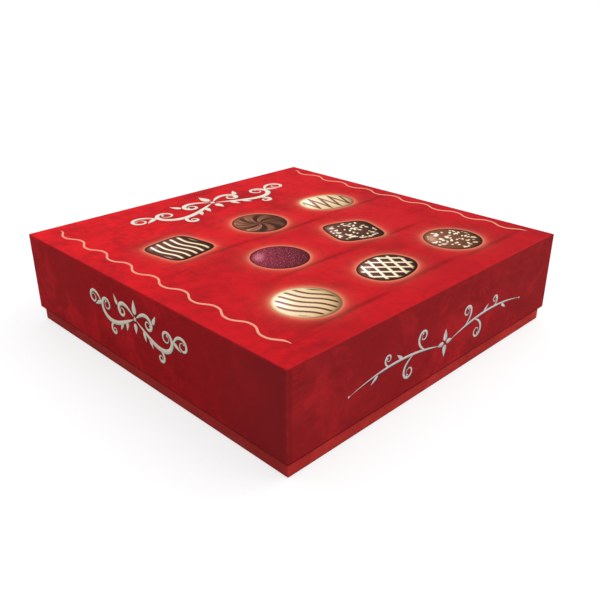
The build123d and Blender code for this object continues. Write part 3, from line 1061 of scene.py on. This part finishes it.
def wavy_line_grower():
    """A flat wavy line along Y: a line pushed aside by a cosine and swept with a flat section."""
    tree = Grower("wavy_line", "Length", "Height", "Wave", "Start", "Width", "Thickness")
    given = tree.given
    half = given["Length"] * 0.5
    line = tree.line(WAVE_POINTS, {"Start": tree.vector(y=half * -1.0), "End": tree.vector(y=half)})
    phase = (tree.coordinate(1) - given["Start"]) / given["Wave"] * tau
    swing = phase.sum("COSINE") - (phase * 3.0).sum("COSINE") * WAVE_FLATNESS
    aside = tree.vector(x=swing * (given["Height"] * -1.0))
    line = tree.add("GeometryNodeSetPosition", {"Geometry": line, "Offset": aside})
    line = tree.add("GeometryNodeSetCurveNormal", {"Curve": line}, mode="Z_UP")
    press = phase.sum("SINE") * -0.12 + 0.88
    scale = (tree.taper(45.0, 0.6) * press).sum("MAXIMUM", 0.12)
    section = {"Width": given["Width"], "Height": given["Thickness"]}
    tree.sweep(line, tree.add("GeometryNodeCurvePrimitiveQuadrilateral", section), scale)
    return tree


def joined(name, *parts):
    """Meshes in a material each, as one mesh."""
    work = bmesh.new()
    for number, (mesh, _) in enumerate(parts):
        before = len(work.faces)
        work.from_mesh(mesh)
        work.faces.ensure_lookup_table()
        for face in work.faces[before:]:
            face.material_index = number
    bmesh.ops.recalc_face_normals(work, faces=work.faces)
    result = bpy.data.meshes.new(name)
    work.to_mesh(result)
    work.free()
    for _, finish in parts:
        result.materials.append(finish.material)
    return result


def ink_finish(name, colour, roughness, relief=0.0):
    """Printing ink that takes the paper's fine unevenness, a little thinner in places, with strokes
    that are painted brighter on their lit side, over a shadow in dark red."""
    finish = Finish(name, roughness, specular=0.05, ground=colour)
    finish.stain(finish.cloud(420.0, detail=4.0).spread(0.35, 0.75) * 0.5, tinted(colour, 0.82))
    if relief:
        lit = finish.painted("lit")
        unlit = tinted(colour, 1 - relief)
        finish.ground = finish.mixed(lit.spread(-1.0, 0.5), unlit, finish.ground)
        finish.stain(lit.spread(-2.0, -2.5), STROKE_SHADE)
    finish.paper_grain(0.3)
    return finish


class ChocolateBoxWaves(bpy.types.Operator):
    """Print the plain wavy lines at the sides of the lid's panel"""
    bl_idname = "chocolate_box.waves"
    bl_label = "Wavy lines"

    def execute(self, context):
        ornament, ink = settings().ornament, settings().cover.ink
        finish = ink_finish("salmon_ink", ornament.salmon, 0.45)
        tree = wavy_line_grower()
        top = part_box("lid_wrap")[1][2]
        lines = []
        for across, height, shift in WAVES:
            start = (WAVE_START + shift - WAVE_MIDDLE) * MM
            line = tree.grow("wavy_line", Length=WAVE_LENGTH_ALONG * MM, Height=height * MM,
                             Wave=ornament.wave_length, Start=start, Width=ornament.wave_width,
                             Thickness=ink, Material=finish.material)
            line.transform(Matrix.Translation((across * MM, WAVE_MIDDLE * MM, top - ink / 2)))
            lines.append((line, finish))
        seat(add_object("wavy_lines", joined("wavy_lines", *lines)), "lid", "printed_paper")
        return {"FINISHED"}


class ChocolateBoxBonbonPrint(bpy.types.Operator):
    """Print the bonbons, seen from above, on the lid's panel"""
    bl_idname = "chocolate_box.bonbon_print"
    bl_label = "Printed bonbons"

    def execute(self, context):
        finish = Finish("bonbon_print", roughness=0.46, specular=0.01)
        finish.ground = finish.painted("print", "Color")
        dulled = finish.mixed(1.0, finish.ground, (0.80, 0.80, 0.80), blend="MULTIPLY")
        finish.stain(finish.cloud(900.0).spread(0.3, 0.8) * 0.5, dulled)
        finish.paper_grain(0.25)
        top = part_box("lid_wrap")[1][2]
        seat(add_object("bonbon_print", bonbon_print_mesh(top), finish), "lid", "printed_paper")
        return {"FINISHED"}


class ChocolateBoxScrolls(bpy.types.Operator):
    """Print the scrolls on the panel and the left wall, and foil the ornament on the front wall"""
    bl_idname = "chocolate_box.scrolls"
    bl_label = "Scroll ornaments"

    def execute(self, context):
        ink = settings().cover.ink
        low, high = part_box("lid_wrap")
        middle = (low[2] + high[2]) / 2
        faces = {"panel": (0.0, 0.0, high[2] - ink), "left": (low[0] + ink, 0.0, middle),
                 "front": (0.0, low[1] + ink, middle)}
        for face, (*drawing, place, colour, kind, roughness, relief) in ORNAMENTS.items():
            centre = np.array(faces[face]) + np.array(place) * MM
            mesh = ornament_mesh(f"{face}_scrolls", *drawing, centre)
            tone = getattr(settings().ornament, colour)
            finish = ink_finish(f"{colour}_{kind}", tone, roughness, relief)
            if kind == "foil":
                finish.feed("Metallic", finish.painted("lit").spread(-2.5, -2.0) * 0.7)
            seat(add_object(f"{face}_scrolls", mesh, finish), "lid", "printed_paper")
        return {"FINISHED"}


# Boards, papers and the tray, whose CAD shapes are right as they are

FLECK = (0.12, 0.09, 0.06)


def fibre_paper(name, colour, roughness, dark, scale=1.0):
    """Uncoated paper or board: short crossing fibres, flecks and a felt side's unevenness."""
    finish = Finish(name, roughness, specular=0.3, ground=tinted(colour, dark))
    first = finish.cloud(900.0 * scale, stretch=(0.18, 1.0, 1.0))
    second = finish.cloud(900.0 * scale, stretch=(1.0, 0.18, 1.0))
    fibres = first.spread(0.35, 0.70) * second.spread(0.35, 0.70)
    finish.stain(fibres, colour)
    finish.stain(finish.cloud(1500.0 * scale, detail=2.0).spread(0.66, 0.74) * (1 - dark), FLECK)
    finish.bump(fibres, 0.04 * MM, 0.5)
    finish.bump(finish.cloud(120.0, detail=2.0), 0.08 * MM, 0.25)
    return finish


def formed_plastic(name, colour):
    """Thermoformed sheet: glossy, a little uneven, and drawn out down the walls of its wells."""
    finish = Finish(name, roughness=0.24, specular=0.28, ground=colour)
    flow = finish.cloud(55.0)
    draw = finish.cloud(420.0, detail=2.0, stretch=(1.0, 1.0, 0.08))
    finish.stain(flow.spread(0.4, 0.7) * 0.5, tinted(colour, 1.35, 0.004))
    finish.uneven(flow.spread(0.3, 0.7) * draw.spread(0.3, 0.7), 0.16, 0.34)
    finish.bump(draw, 0.02 * MM, 0.15)
    finish.bump(flow, 0.10 * MM, 0.25)
    return finish


class ChocolateBoxLinings(bpy.types.Operator):
    """Dress the boards, linings, corner stays and the sheet under the base"""
    bl_idname = "chocolate_box.linings"
    bl_label = "Boards and linings"

    def execute(self, context):
        inside = settings().inside
        finishes = {
            "board": fibre_paper("greyboard_pulp", inside.greyboard, 0.80, 0.72, scale=0.6),
            "corner_stays": fibre_paper("kraft_tape", inside.kraft, 0.66, 0.80),
            "liner": fibre_paper("lining_paper", inside.lining, 0.58, 0.93),
            "bottom_sheet": fibre_paper("underside_paper", inside.underside, 0.62, 0.78),
        }
        for node in frame["nodes"]:
            for part, finish in finishes.items():
                if node.endswith(part):
                    dress(node, finish)
        return {"FINISHED"}


class ChocolateBoxTray(bpy.types.Operator):
    """Dress the formed tray"""
    bl_idname = "chocolate_box.tray"
    bl_label = "Formed tray"

    def execute(self, context):
        dress("tray", formed_plastic("formed_brown_plastic", settings().inside.plastic))
        return {"FINISHED"}


# Truffles. Their outline, in millimetres from the middle and above the foot's underside, is a round
# foot, a flank arc and a crown arc, as in the solid.

FOOT_RADIUS, FOOT_HEIGHT, FOOT_ROUND = 16.5, 1.8, 0.5
FLANK_MIDDLE, FLANK_RADIUS, FLANK_FOOT = -14.196, 29.896, FOOT_HEIGHT + 0.06
CROWN_HEIGHT, CROWN_RADIUS, SHOULDER = 13.5, 11.5, 39.49
DOME_HEIGHT = CROWN_HEIGHT + CROWN_RADIUS
# Mesh of the coating: vertices round it, their spacing up a ringed truffle and up the others, and
# the angle up to which it is smooth
SPOKES = 72
RINGED_SPACING, PLAIN_SPACING = 0.36, 0.95
SHARP = 60.0
# Outer radii of a ringed truffle's rings, and their width and rise
RING_RADII, RING_WIDTH, RING_RISE = (4.0, 8.0, 12.0), 1.4, 0.5
# Topping of each kind, and how much lower than the solid its dome is to leave room for it
KINDS = (("piped", 0.5), ("crumbed", 0.45), ("ringed", 0.0), ("drizzled", 0.35))
# Reach, pitch, passes and turn of the piped and the drizzled line
PIPING = {"piped": (13.2, 4.6, 5.0, 0.0), "drizzled": (12.4, 3.1, 7.0, 0.6)}
PIPED_POINTS = 340
# How high above the truffle's foot the lowest crumbs lie, and the most crumbs a square metre before
# their spacing thins them
LOWEST_CRUMB = 13.0
MOST_CRUMBS = 500000.0
# How far the coating lies inside the solid's outline, and how much further near the crown
COATING_DIP, CROWN_DIP = 0.30, 0.10
# Over what height above the foot, and what reach from the middle, that dip grows to its full
DIP_HEIGHT, DIP_REACH = 4.0, 8.0
# Scale and strength of the noises that make the coating uneven
SWELLS = ((0.13, 1.0), (0.35, 0.4))
# How far above the foot the rings are moulded, and above the underside they are coloured
RINGS_MOULDED, RINGS_COLOURED = 3.0, 10.0


def dome_outline(spacing):
    """Radius and height of a truffle's rings, from the foot's edge to just short of the crown."""
    quarter = np.linspace(0.0, pi / 2, 4)
    sine, cosine = FOOT_ROUND * (1 - np.sin(quarter)), FOOT_ROUND * (1 - np.cos(quarter))
    shoulder = radians(SHOULDER)
    flank = np.linspace(0.0, shoulder, max(3, round(FLANK_RADIUS * shoulder / spacing)))
    count = max(3, round(CROWN_RADIUS * (pi / 2 - shoulder) / spacing))
    crown = np.linspace(shoulder, pi / 2, count)[1:-1]
    stretches = (
        (FOOT_RADIUS - sine, cosine),
        (FOOT_RADIUS - cosine[1:], FOOT_HEIGHT - sine[1:]),
        (FLANK_MIDDLE + FLANK_RADIUS * np.cos(flank), FLANK_FOOT + FLANK_RADIUS * np.sin(flank)),
        (CROWN_RADIUS * np.cos(crown), CROWN_HEIGHT + CROWN_RADIUS * np.sin(crown)),
    )
    return np.concatenate([np.column_stack(stretch) for stretch in stretches])


def ring_rise(radius):
    """How far the moulded rings rise at a distance from the middle."""
    rise = np.zeros(len(radius))
    for outer in RING_RADII:
        gap = np.clip(np.abs(radius - outer + RING_WIDTH / 2) / (0.62 * RING_WIDTH), 0.0, 1.0)
        rise = np.maximum(rise, RING_RISE * np.cos(gap * pi / 2) ** 0.8)
    return rise


def dome_mesh(name, kind, lower):
    """A truffle's coating: turned from its outline, a little uneven, and as large as its solid."""
    ringed = kind == "ringed"
    radius, height = dome_outline(RINGED_SPACING if ringed else PLAIN_SPACING).T
    lifted = height + (ring_rise(radius) * (height > FOOT_HEIGHT + RINGS_MOULDED) if ringed else 0)
    angle = tau * np.arange(SPOKES) / SPOKES
    x, y = np.outer(radius, np.cos(angle)), np.outer(radius, np.sin(angle))
    vertices = np.column_stack([x.ravel(), y.ravel(), np.repeat(lifted, SPOKES)])
    vertices = np.concatenate([vertices, [[0, 0, DOME_HEIGHT]]])
    low, high = (np.array(corner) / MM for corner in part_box(name))
    middle = (low + high) / 2
    above = np.clip((vertices[:, 2] - FOOT_HEIGHT) / DIP_HEIGHT, 0.0, 1.0)
    for index, (a, b, c) in enumerate(vertices):
        where = Vector((a + middle[0], b + middle[1], c))
        swell = sum(strength * noise.noise(where * scale) for scale, strength in SWELLS)
        inward = (COATING_DIP + CROWN_DIP * above[index]) * (0.5 + 0.5 * swell)
        reach = max(hypot(a, b), 0.001)
        lean = min(1.0, reach / DIP_REACH)
        vertices[index, 0] -= inward * lean * a / reach
        vertices[index, 1] -= inward * lean * b / reach
        vertices[index, 2] -= 0.5 * inward * above[index]
    start = vertices.min(axis=0)
    span = vertices.max(axis=0) - start
    size = (high - low) / span
    size[2] = (high[2] - low[2] - lower) / span[2]
    vertices = (vertices - start) * size + low
    top = (len(radius) - 1) * SPOKES
    around = [(i, (i + 1) % SPOKES) for i in range(SPOKES)]
    faces = [(foot + i, foot + j, foot + SPOKES + j, foot + SPOKES + i)
             for foot in range(0, top, SPOKES) for i, j in around]
    faces += [(top + i, top + j, top + SPOKES) for i, j in around]
    faces.append(tuple(reversed(range(SPOKES))))
    mesh = new_mesh(name, vertices * MM, faces, SHARP)
    rise = ring_rise(np.hypot(*(places(mesh)[:, :2] / MM - middle[:2]).T))
    above = places(mesh)[:, 2] / MM > low[2] + RINGS_COLOURED
    paint(mesh, ring=np.clip(rise / RING_RISE, 0.0, 1.0) ** 2 * above if ringed else 0 * rise)
    return mesh


def piping_grower():
    """A line piped to and fro over a dome: it drops onto the ground mesh and is swept round."""
    tree = Grower("piped_line", "Reach", "Pitch", "Passes", "Turn", "Width", "Sink",
                  Place="NodeSocketVector")
    given = tree.given
    passes = tree.share() * given["Passes"]
    x = (passes + (passes * tau).sum("SINE") * (0.9 / tau) - given["Passes"] * 0.5) * given["Pitch"]
    swing = (given["Reach"] * given["Reach"] - x * x).sum("MAXIMUM", 1e-8).sum("SQRT")
    y = swing * (passes * pi).sum("COSINE")
    cosine, sine = given["Turn"].sum("COSINE"), given["Turn"].sum("SINE")
    over = {0: tree.vector(x * cosine - y * sine, x * sine + y * cosine), 1: given["Place"]}
    over = {"Geometry": tree.line(PIPED_POINTS), "Position": tree.add("ShaderNodeVectorMath", over)}
    line = tree.add("GeometryNodeSetPosition", over)
    hit = {"Target Geometry": given["Geometry"], "Ray Direction": (0, 0, -1), "Ray Length": 0.1}
    hit = wire(tree.tree, "GeometryNodeRaycast", hit)
    sunk = {0: Value(hit, "Hit Normal"), "Scale": given["Sink"]}
    sunk = tree.add("ShaderNodeVectorMath", sunk, operation="SCALE")
    lying = {0: Value(hit, "Hit Position"), 1: sunk}
    lying = tree.add("ShaderNodeVectorMath", lying, operation="SUBTRACT")
    line = tree.add("GeometryNodeSetPosition", {"Geometry": line, "Position": lying})
    press = (passes * 7.3).sum("SINE") * 0.08 + 0.92
    scale = (tree.taper(90.0, 0.5) * press).sum("MAXIMUM", 0.15)
    section = {"Resolution": 8, "Radius": given["Width"] * 0.5}
    tree.sweep(line, tree.add("GeometryNodeCurvePrimitiveCircle", section), scale)
    return tree


def crumb_grower():
    """Nut crumbs scattered over the upper part of a dome."""
    tree = Grower("nut_crumbs", "Crumb", "Spacing", "Lowest", Seed="NodeSocketInt")
    given = tree.given
    upper = {0: tree.coordinate(2), 1: given["Lowest"]}
    upper = tree.add("FunctionNodeCompare", upper, operation="GREATER_THAN")
    scatter = {"Mesh": given["Geometry"], "Selection": upper, "Distance Min": given["Spacing"],
               "Density Max": MOST_CRUMBS, "Seed": given["Seed"]}
    points = tree.add("GeometryNodeDistributePointsOnFaces", scatter, distribute_method="POISSON")

    def random(low, high):
        """A vector for each crumb, between two others."""
        limits = {"Min": low, "Max": high, "Seed": given["Seed"]}
        return tree.add("FunctionNodeRandomValue", limits, data_type="FLOAT_VECTOR")

    ball = {"Radius": given["Crumb"] * 0.5, "Subdivisions": 1}
    crumb = tree.add("GeometryNodeMeshIcoSphere", ball)
    turn = tree.add("FunctionNodeEulerToRotation", {0: random((0.0, 0.0, 0.0), (tau, tau, tau))})
    size = random((0.45, 0.6, 0.5), (1.0, 1.5, 0.9))
    placed = {"Points": points, "Instance": crumb, "Rotation": turn, "Scale": size}
    tree.finish(tree.add("GeometryNodeInstanceOnPoints", placed))
    return tree


def chocolate(name, colour, roughness, ripple=1.0, rings=None):
    """Tempered chocolate: satin, with faint bloom, pinpricks and ripples from the dipping."""
    finish = Finish(name, roughness, specular=0.20, ground=colour)
    bloom = finish.cloud(95.0, detail=5.0).spread(0.42, 0.78)
    finish.stain(bloom * 0.55, tinted(colour, 1.5, 0.005))
    if rings:
        finish.stain(finish.painted("ring").spread(0.30, 0.62), rings)
    finish.uneven(finish.cloud(260.0).spread(0.3, 0.7), roughness - 0.07, roughness + 0.10)
    finish.bump(finish.cloud(170.0, detail=2.0, distortion=0.8), 0.30 * MM, 0.22 * ripple)
    finish.bump(finish.cloud(1400.0), 0.04 * MM, 0.4)
    return finish


class ChocolateBoxTruffles(bpy.types.Operator):
    """Mould the sixteen truffles, each on its own body, and pipe or sprinkle them"""
    bl_idname = "chocolate_box.truffles"
    bl_label = "Truffles"

    def execute(self, context):
        sizes = settings().chocolate
        dark = chocolate("dark_coating", sizes.dark, 0.34, rings=sizes.milk)
        milk = chocolate("milk_coating", sizes.milk, 0.38)
        cream = chocolate("piped_cream", sizes.cream, 0.42, ripple=0.4)
        nut = chocolate("chopped_nut", sizes.nut, 0.62, ripple=0.2)
        pipes = {"piped": (cream, sizes.line), "drizzled": (dark, sizes.drizzle)}
        piping, crumbs = piping_grower(), crumb_grower()
        for number, name in enumerate(TRUFFLES):
            row, column = divmod(number, 4)
            kind, lower = KINDS[(column + 2 * row) % 4]
            coating = dark if kind in ("piped", "ringed") else milk
            dome = dome_mesh(name, kind, lower)
            low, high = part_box(name)
            parts = [(dome, coating)]
            if kind in PIPING:
                reach, pitch, passes, turn = PIPING[kind]
                finish, width = pipes[kind]
                above = ((low[0] + high[0]) / 2, (low[1] + high[1]) / 2, high[2] + 5 * MM)
                line = piping.grow(f"{kind}_line", dome, Place=above, Reach=reach * MM,
                                   Pitch=pitch * MM, Passes=passes, Turn=turn, Width=width,
                                   Sink=width / 2 - lower * MM, Material=finish.material)
                parts.append((line, finish))
            elif kind == "crumbed":
                bits = crumbs.grow("nut_crumbs", dome, Crumb=sizes.crumb, Spacing=sizes.spacing,
                                   Lowest=low[2] + LOWEST_CRUMB * MM, Seed=sizes.seed + number,
                                   Material=nut.material)
                parts.append((bits, nut))
            mesh = joined(f"{name}_coated", *parts)
            flat = places(mesh)
            flat[:, 2] = np.minimum(flat[:, 2], high[2])
            mesh.vertices.foreach_set("co", flat.ravel())
            smooth(mesh, SHARP)
            bodies = frame["record"]["behaviour"]["bodies"]
            body = next(body for body, nodes in bodies.items() if name in nodes)
            slot = "dark_chocolate" if coating is dark else "milk_chocolate"
            seat(add_object(f"{name}_coated", mesh), body, slot, name)
        return {"FINISHED"}


# Cushion pad

# Mesh cells along a puff
PUFF_CELLS = 8
# Half of what is held flat in the cloth, and half of what is shaded, in widths of a pressed line
HELD, PRESSED_SHADE = 0.6, 0.7
# The percentile of the swelling that counts as full, so that no single crease sets the height
FULL_SWELL = 99.5
# How much larger the plies are while the cloth simulation runs, and its frames and settings
PAD_SCALE = 20.0
PAD_FRAMES = 20
CLOTH = {
    "quality": 4,
    "mass": 0.15,
    "tension_stiffness": 10.0,
    "compression_stiffness": 10.0,
    "shear_stiffness": 5.0,
    "bending_stiffness": 0.4,
    "use_pressure": True,
    "uniform_pressure_force": 40.0,
    "vertex_group_mass": "pressed",
}


def line_gap(x, y):
    """The gap from places on the pad to the nearest pressed line."""
    low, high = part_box("cushion_pad")
    pitch = (high[0] - low[0]) / settings().inside.puffs
    return np.minimum(gap_to_rows(x - low[0], pitch), gap_to_rows(y - low[1], pitch))


def pad_sheet():
    """The pad's plies as one closed mesh, which vertices are held, its middle and a ply's level."""
    inside = settings().inside
    low, high = (np.array(corner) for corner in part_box("cushion_pad"))
    count = inside.puffs * PUFF_CELLS + 1
    half = (high[0] - low[0]) / 2
    stops = np.linspace(-half, half, count)
    x, y = (axis.ravel() for axis in np.meshgrid(stops, stops))
    pressed = line_gap(x, y) < HELD * inside.channel
    rim = (np.abs(x) > half - 1e-6) | (np.abs(y) > half - 1e-6)
    middle, level = (low[2] + high[2]) / 2, 0.5 * inside.ply
    plies = [np.column_stack([x, y, np.full(len(x), middle + side * level)]) for side in (1, -1)]
    quads, edge = square_grid(count)
    shift = count * count
    faces = quads + [tuple(shift + corner for corner in reversed(quad)) for quad in quads]
    faces += band(edge, [shift + corner for corner in edge])
    return np.concatenate(plies), faces, np.tile(pressed | rim, 2), middle, level


def swollen(vertices, faces, pinned):
    """The plies blown up between their pressed lines by a cloth simulation."""
    piece = add_object("pad_cloth", raw_mesh("pad_cloth", vertices * PAD_SCALE, faces))
    group = piece.vertex_groups.new(name=CLOTH["vertex_group_mass"])
    group.add([int(i) for i in np.nonzero(pinned)[0]], 1.0, "REPLACE")
    cloth = piece.modifiers.new("Cloth", "CLOTH")
    for name, value in CLOTH.items():
        setattr(cloth.settings, name, value)
    cloth.settings.effector_weights.gravity = 0.0
    cloth.collision_settings.use_collision = False
    cloth.point_cache.frame_end = PAD_FRAMES
    scene = bpy.context.scene
    for number in range(1, PAD_FRAMES + 1):
        scene.frame_set(number)
    settle(piece)
    result = places(piece.data) / PAD_SCALE
    scene.frame_set(1)
    bpy.data.objects.remove(piece)
    return result


def glassine(name, colour):
    """Embossed paper: finely creased, uneven in gloss, and painted darker along the pressed lines
    as shade in their channels.
    """
    finish = Finish(name, roughness=0.42, specular=0.5, ground=colour)
    crease = finish.cloud(210.0, detail=5.0, rough=0.6, distortion=1.2)
    finish.stain(crease.spread(0.4, 0.7), tinted(colour, 0.88))
    # Painted shade along the pressed lines
    finish.stain(finish.painted("pressed") * 0.6, tinted(colour, 0.68))
    finish.uneven(crease.spread(0.3, 0.7), 0.30, 0.52)
    finish.bump(crease, 0.25 * MM, 0.35)
    finish.bump(finish.cloud(1500.0), 0.03 * MM, 0.4)
    return finish


class ChocolateBoxPad(bpy.types.Operator):
    """Quilt the cushion pad and swell its puffs"""
    bl_idname = "chocolate_box.pad"
    bl_label = "Cushion pad"

    def execute(self, context):
        inside = settings().inside
        vertices, faces, pinned, middle, level = pad_sheet()
        low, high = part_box("cushion_pad")
        most = (high[2] - low[2]) / 2 - level
        blown = swollen(vertices, faces, pinned)
        rise = np.abs(blown[:, 2] - middle) - level
        rise = most * np.clip(rise / np.percentile(rise, FULL_SWELL), 0.0, 1.0)
        vertices[:, :2] = np.clip(blown[:, :2], low[0], high[0])
        vertices[:, 2] = middle + np.sign(vertices[:, 2] - middle) * (level + rise)
        mesh = new_mesh("quilted_pad", vertices, faces, sharp=75.0)
        # Mask of the pressed lines, for the shade painted along them
        gap = line_gap(*places(mesh)[:, :2].T)
        paint(mesh, pressed=np.clip(1.25 - gap / (PRESSED_SHADE * inside.channel), 0.0, 1.0))
        piece = add_object("quilted_pad", mesh, glassine("pad_glassine", inside.pad))
        seat(piece, "pad", "pad_paper", "cushion_pad")
        return {"FINISHED"}


# Stage

FLOOR_REACH = 14.0
WHITE = (1.0, 1.0, 1.0, 1.0)
KEY_PLACE, KEY_TARGET, KEY_SIZE = (0.55, -0.60, 1.10), (0.0, 0.0, 0.03), 1.2
CAMERA_PLACE = (-0.2492, -0.2559, 0.1802)
CAMERA_AZIMUTH = 45.02
CAMERA_ELEVATION = -25.29
CAMERA_LENS = 42.206
CAMERA_SENSOR = 36.0


def pale_floor(stage):
    """A matt pale floor, whose shadow the camera sees only in part."""
    floor = Finish("pale_floor", roughness=0.7, specular=0.2, ground=stage.floor)
    floor.stain(floor.cloud(30.0, detail=4.0).spread(0.3, 0.7), tinted(stage.floor, 0.985))
    direct = Value(wire(floor.tree, "ShaderNodeLightPath"), "Is Camera Ray")
    glowing = Value(wire(floor.tree, "ShaderNodeEmission", {"Color": WHITE}))
    mixed = {0: direct * (1 - stage.shadow), 1: Value(floor.shader), 2: glowing}
    mixed = wire(floor.tree, "ShaderNodeMixShader", mixed).outputs[0]
    floor.tree.links.new(mixed, floor.tree.nodes["Material Output"].inputs["Surface"])
    return floor


class ChocolateBoxStage(bpy.types.Operator):
    """Add the pale floor, the soft light and the camera"""
    bl_idname = "chocolate_box.stage"
    bl_label = "Stage"

    def execute(self, context):
        stage, scene = settings().stage, context.scene
        low, high = -FLOOR_REACH, FLOOR_REACH
        corners = [(low, low, 0), (high, low, 0), (high, high, 0), (low, high, 0)]
        ground = add_object("floor", new_mesh("floor", corners, [(0, 1, 2, 3)]), pale_floor(stage))

        scene.world = scene.world or bpy.data.worlds.new("even_light")
        scene.world.use_nodes = True
        background = scene.world.node_tree.nodes["Background"]
        background.inputs["Color"].default_value = WHITE
        background.inputs["Strength"].default_value = stage.sky

        light = bpy.data.lights.new("key", "AREA")
        light.shape = "DISK"
        light.size = KEY_SIZE
        light.energy = stage.key
        lamp = add_object("key", light)
        lamp.location = KEY_PLACE
        aim = Vector(KEY_TARGET) - lamp.location
        lamp.rotation_euler = aim.to_track_quat("-Z", "Y").to_euler()

        camera = add_object("camera", bpy.data.cameras.new("camera"))
        camera.data.lens = CAMERA_LENS
        camera.data.sensor_width = CAMERA_SENSOR
        camera.location = CAMERA_PLACE
        tilt, turn = radians(90.0 + CAMERA_ELEVATION), radians(CAMERA_AZIMUTH - 90.0)
        camera.rotation_euler = (tilt, 0.0, turn)
        scene.camera = camera
        scene.view_settings.view_transform = "Standard"
        return {"FINISHED"}


class ChocolateBoxPanel(bpy.types.Panel):
    """The chocolate box's pieces"""
    bl_idname = "VIEW3D_PT_chocolate_box"
    bl_label = "Chocolate box"
    bl_space_type = "VIEW_3D"
    bl_region_type = "UI"
    bl_category = "Chocolate box"

    def draw(self, context):
        for operator in OPERATORS:
            self.layout.operator(operator.bl_idname)
        for group in BoxSettings.__annotations__:
            box = self.layout.box()
            group = getattr(settings(), group)
            for name in group.__annotations__:
                box.prop(group, name)


OPERATORS = (ChocolateBoxCovers, ChocolateBoxWaves, ChocolateBoxBonbonPrint, ChocolateBoxScrolls,
             ChocolateBoxLinings, ChocolateBoxTray, ChocolateBoxTruffles, ChocolateBoxPad,
             ChocolateBoxStage)
CLASSES = (CoverSettings, PrintSettings, ChocolateSettings, InsideSettings, StageSettings,
           BoxSettings, *OPERATORS, ChocolateBoxPanel)


def register():
    """Registers the classes and gives the scene its settings of the box."""
    for item in CLASSES:
        bpy.utils.register_class(item)
    bpy.types.Scene.chocolate_box = PointerProperty(type=BoxSettings)


def unregister():
    """Takes the settings and the classes away again."""
    del bpy.types.Scene.chocolate_box
    for item in reversed(CLASSES):
        bpy.utils.unregister_class(item)


def main():
    """Dresses the box piece by piece."""
    register()
    bpy.ops.chocolate_box.covers()
    bpy.ops.chocolate_box.waves()
    bpy.ops.chocolate_box.bonbon_print()
    bpy.ops.chocolate_box.scrolls()
    bpy.ops.chocolate_box.linings()
    bpy.ops.chocolate_box.tray()
    bpy.ops.chocolate_box.truffles()
    bpy.ops.chocolate_box.pad()
    bpy.ops.chocolate_box.stage()


if __name__ == "__main__":
    main()
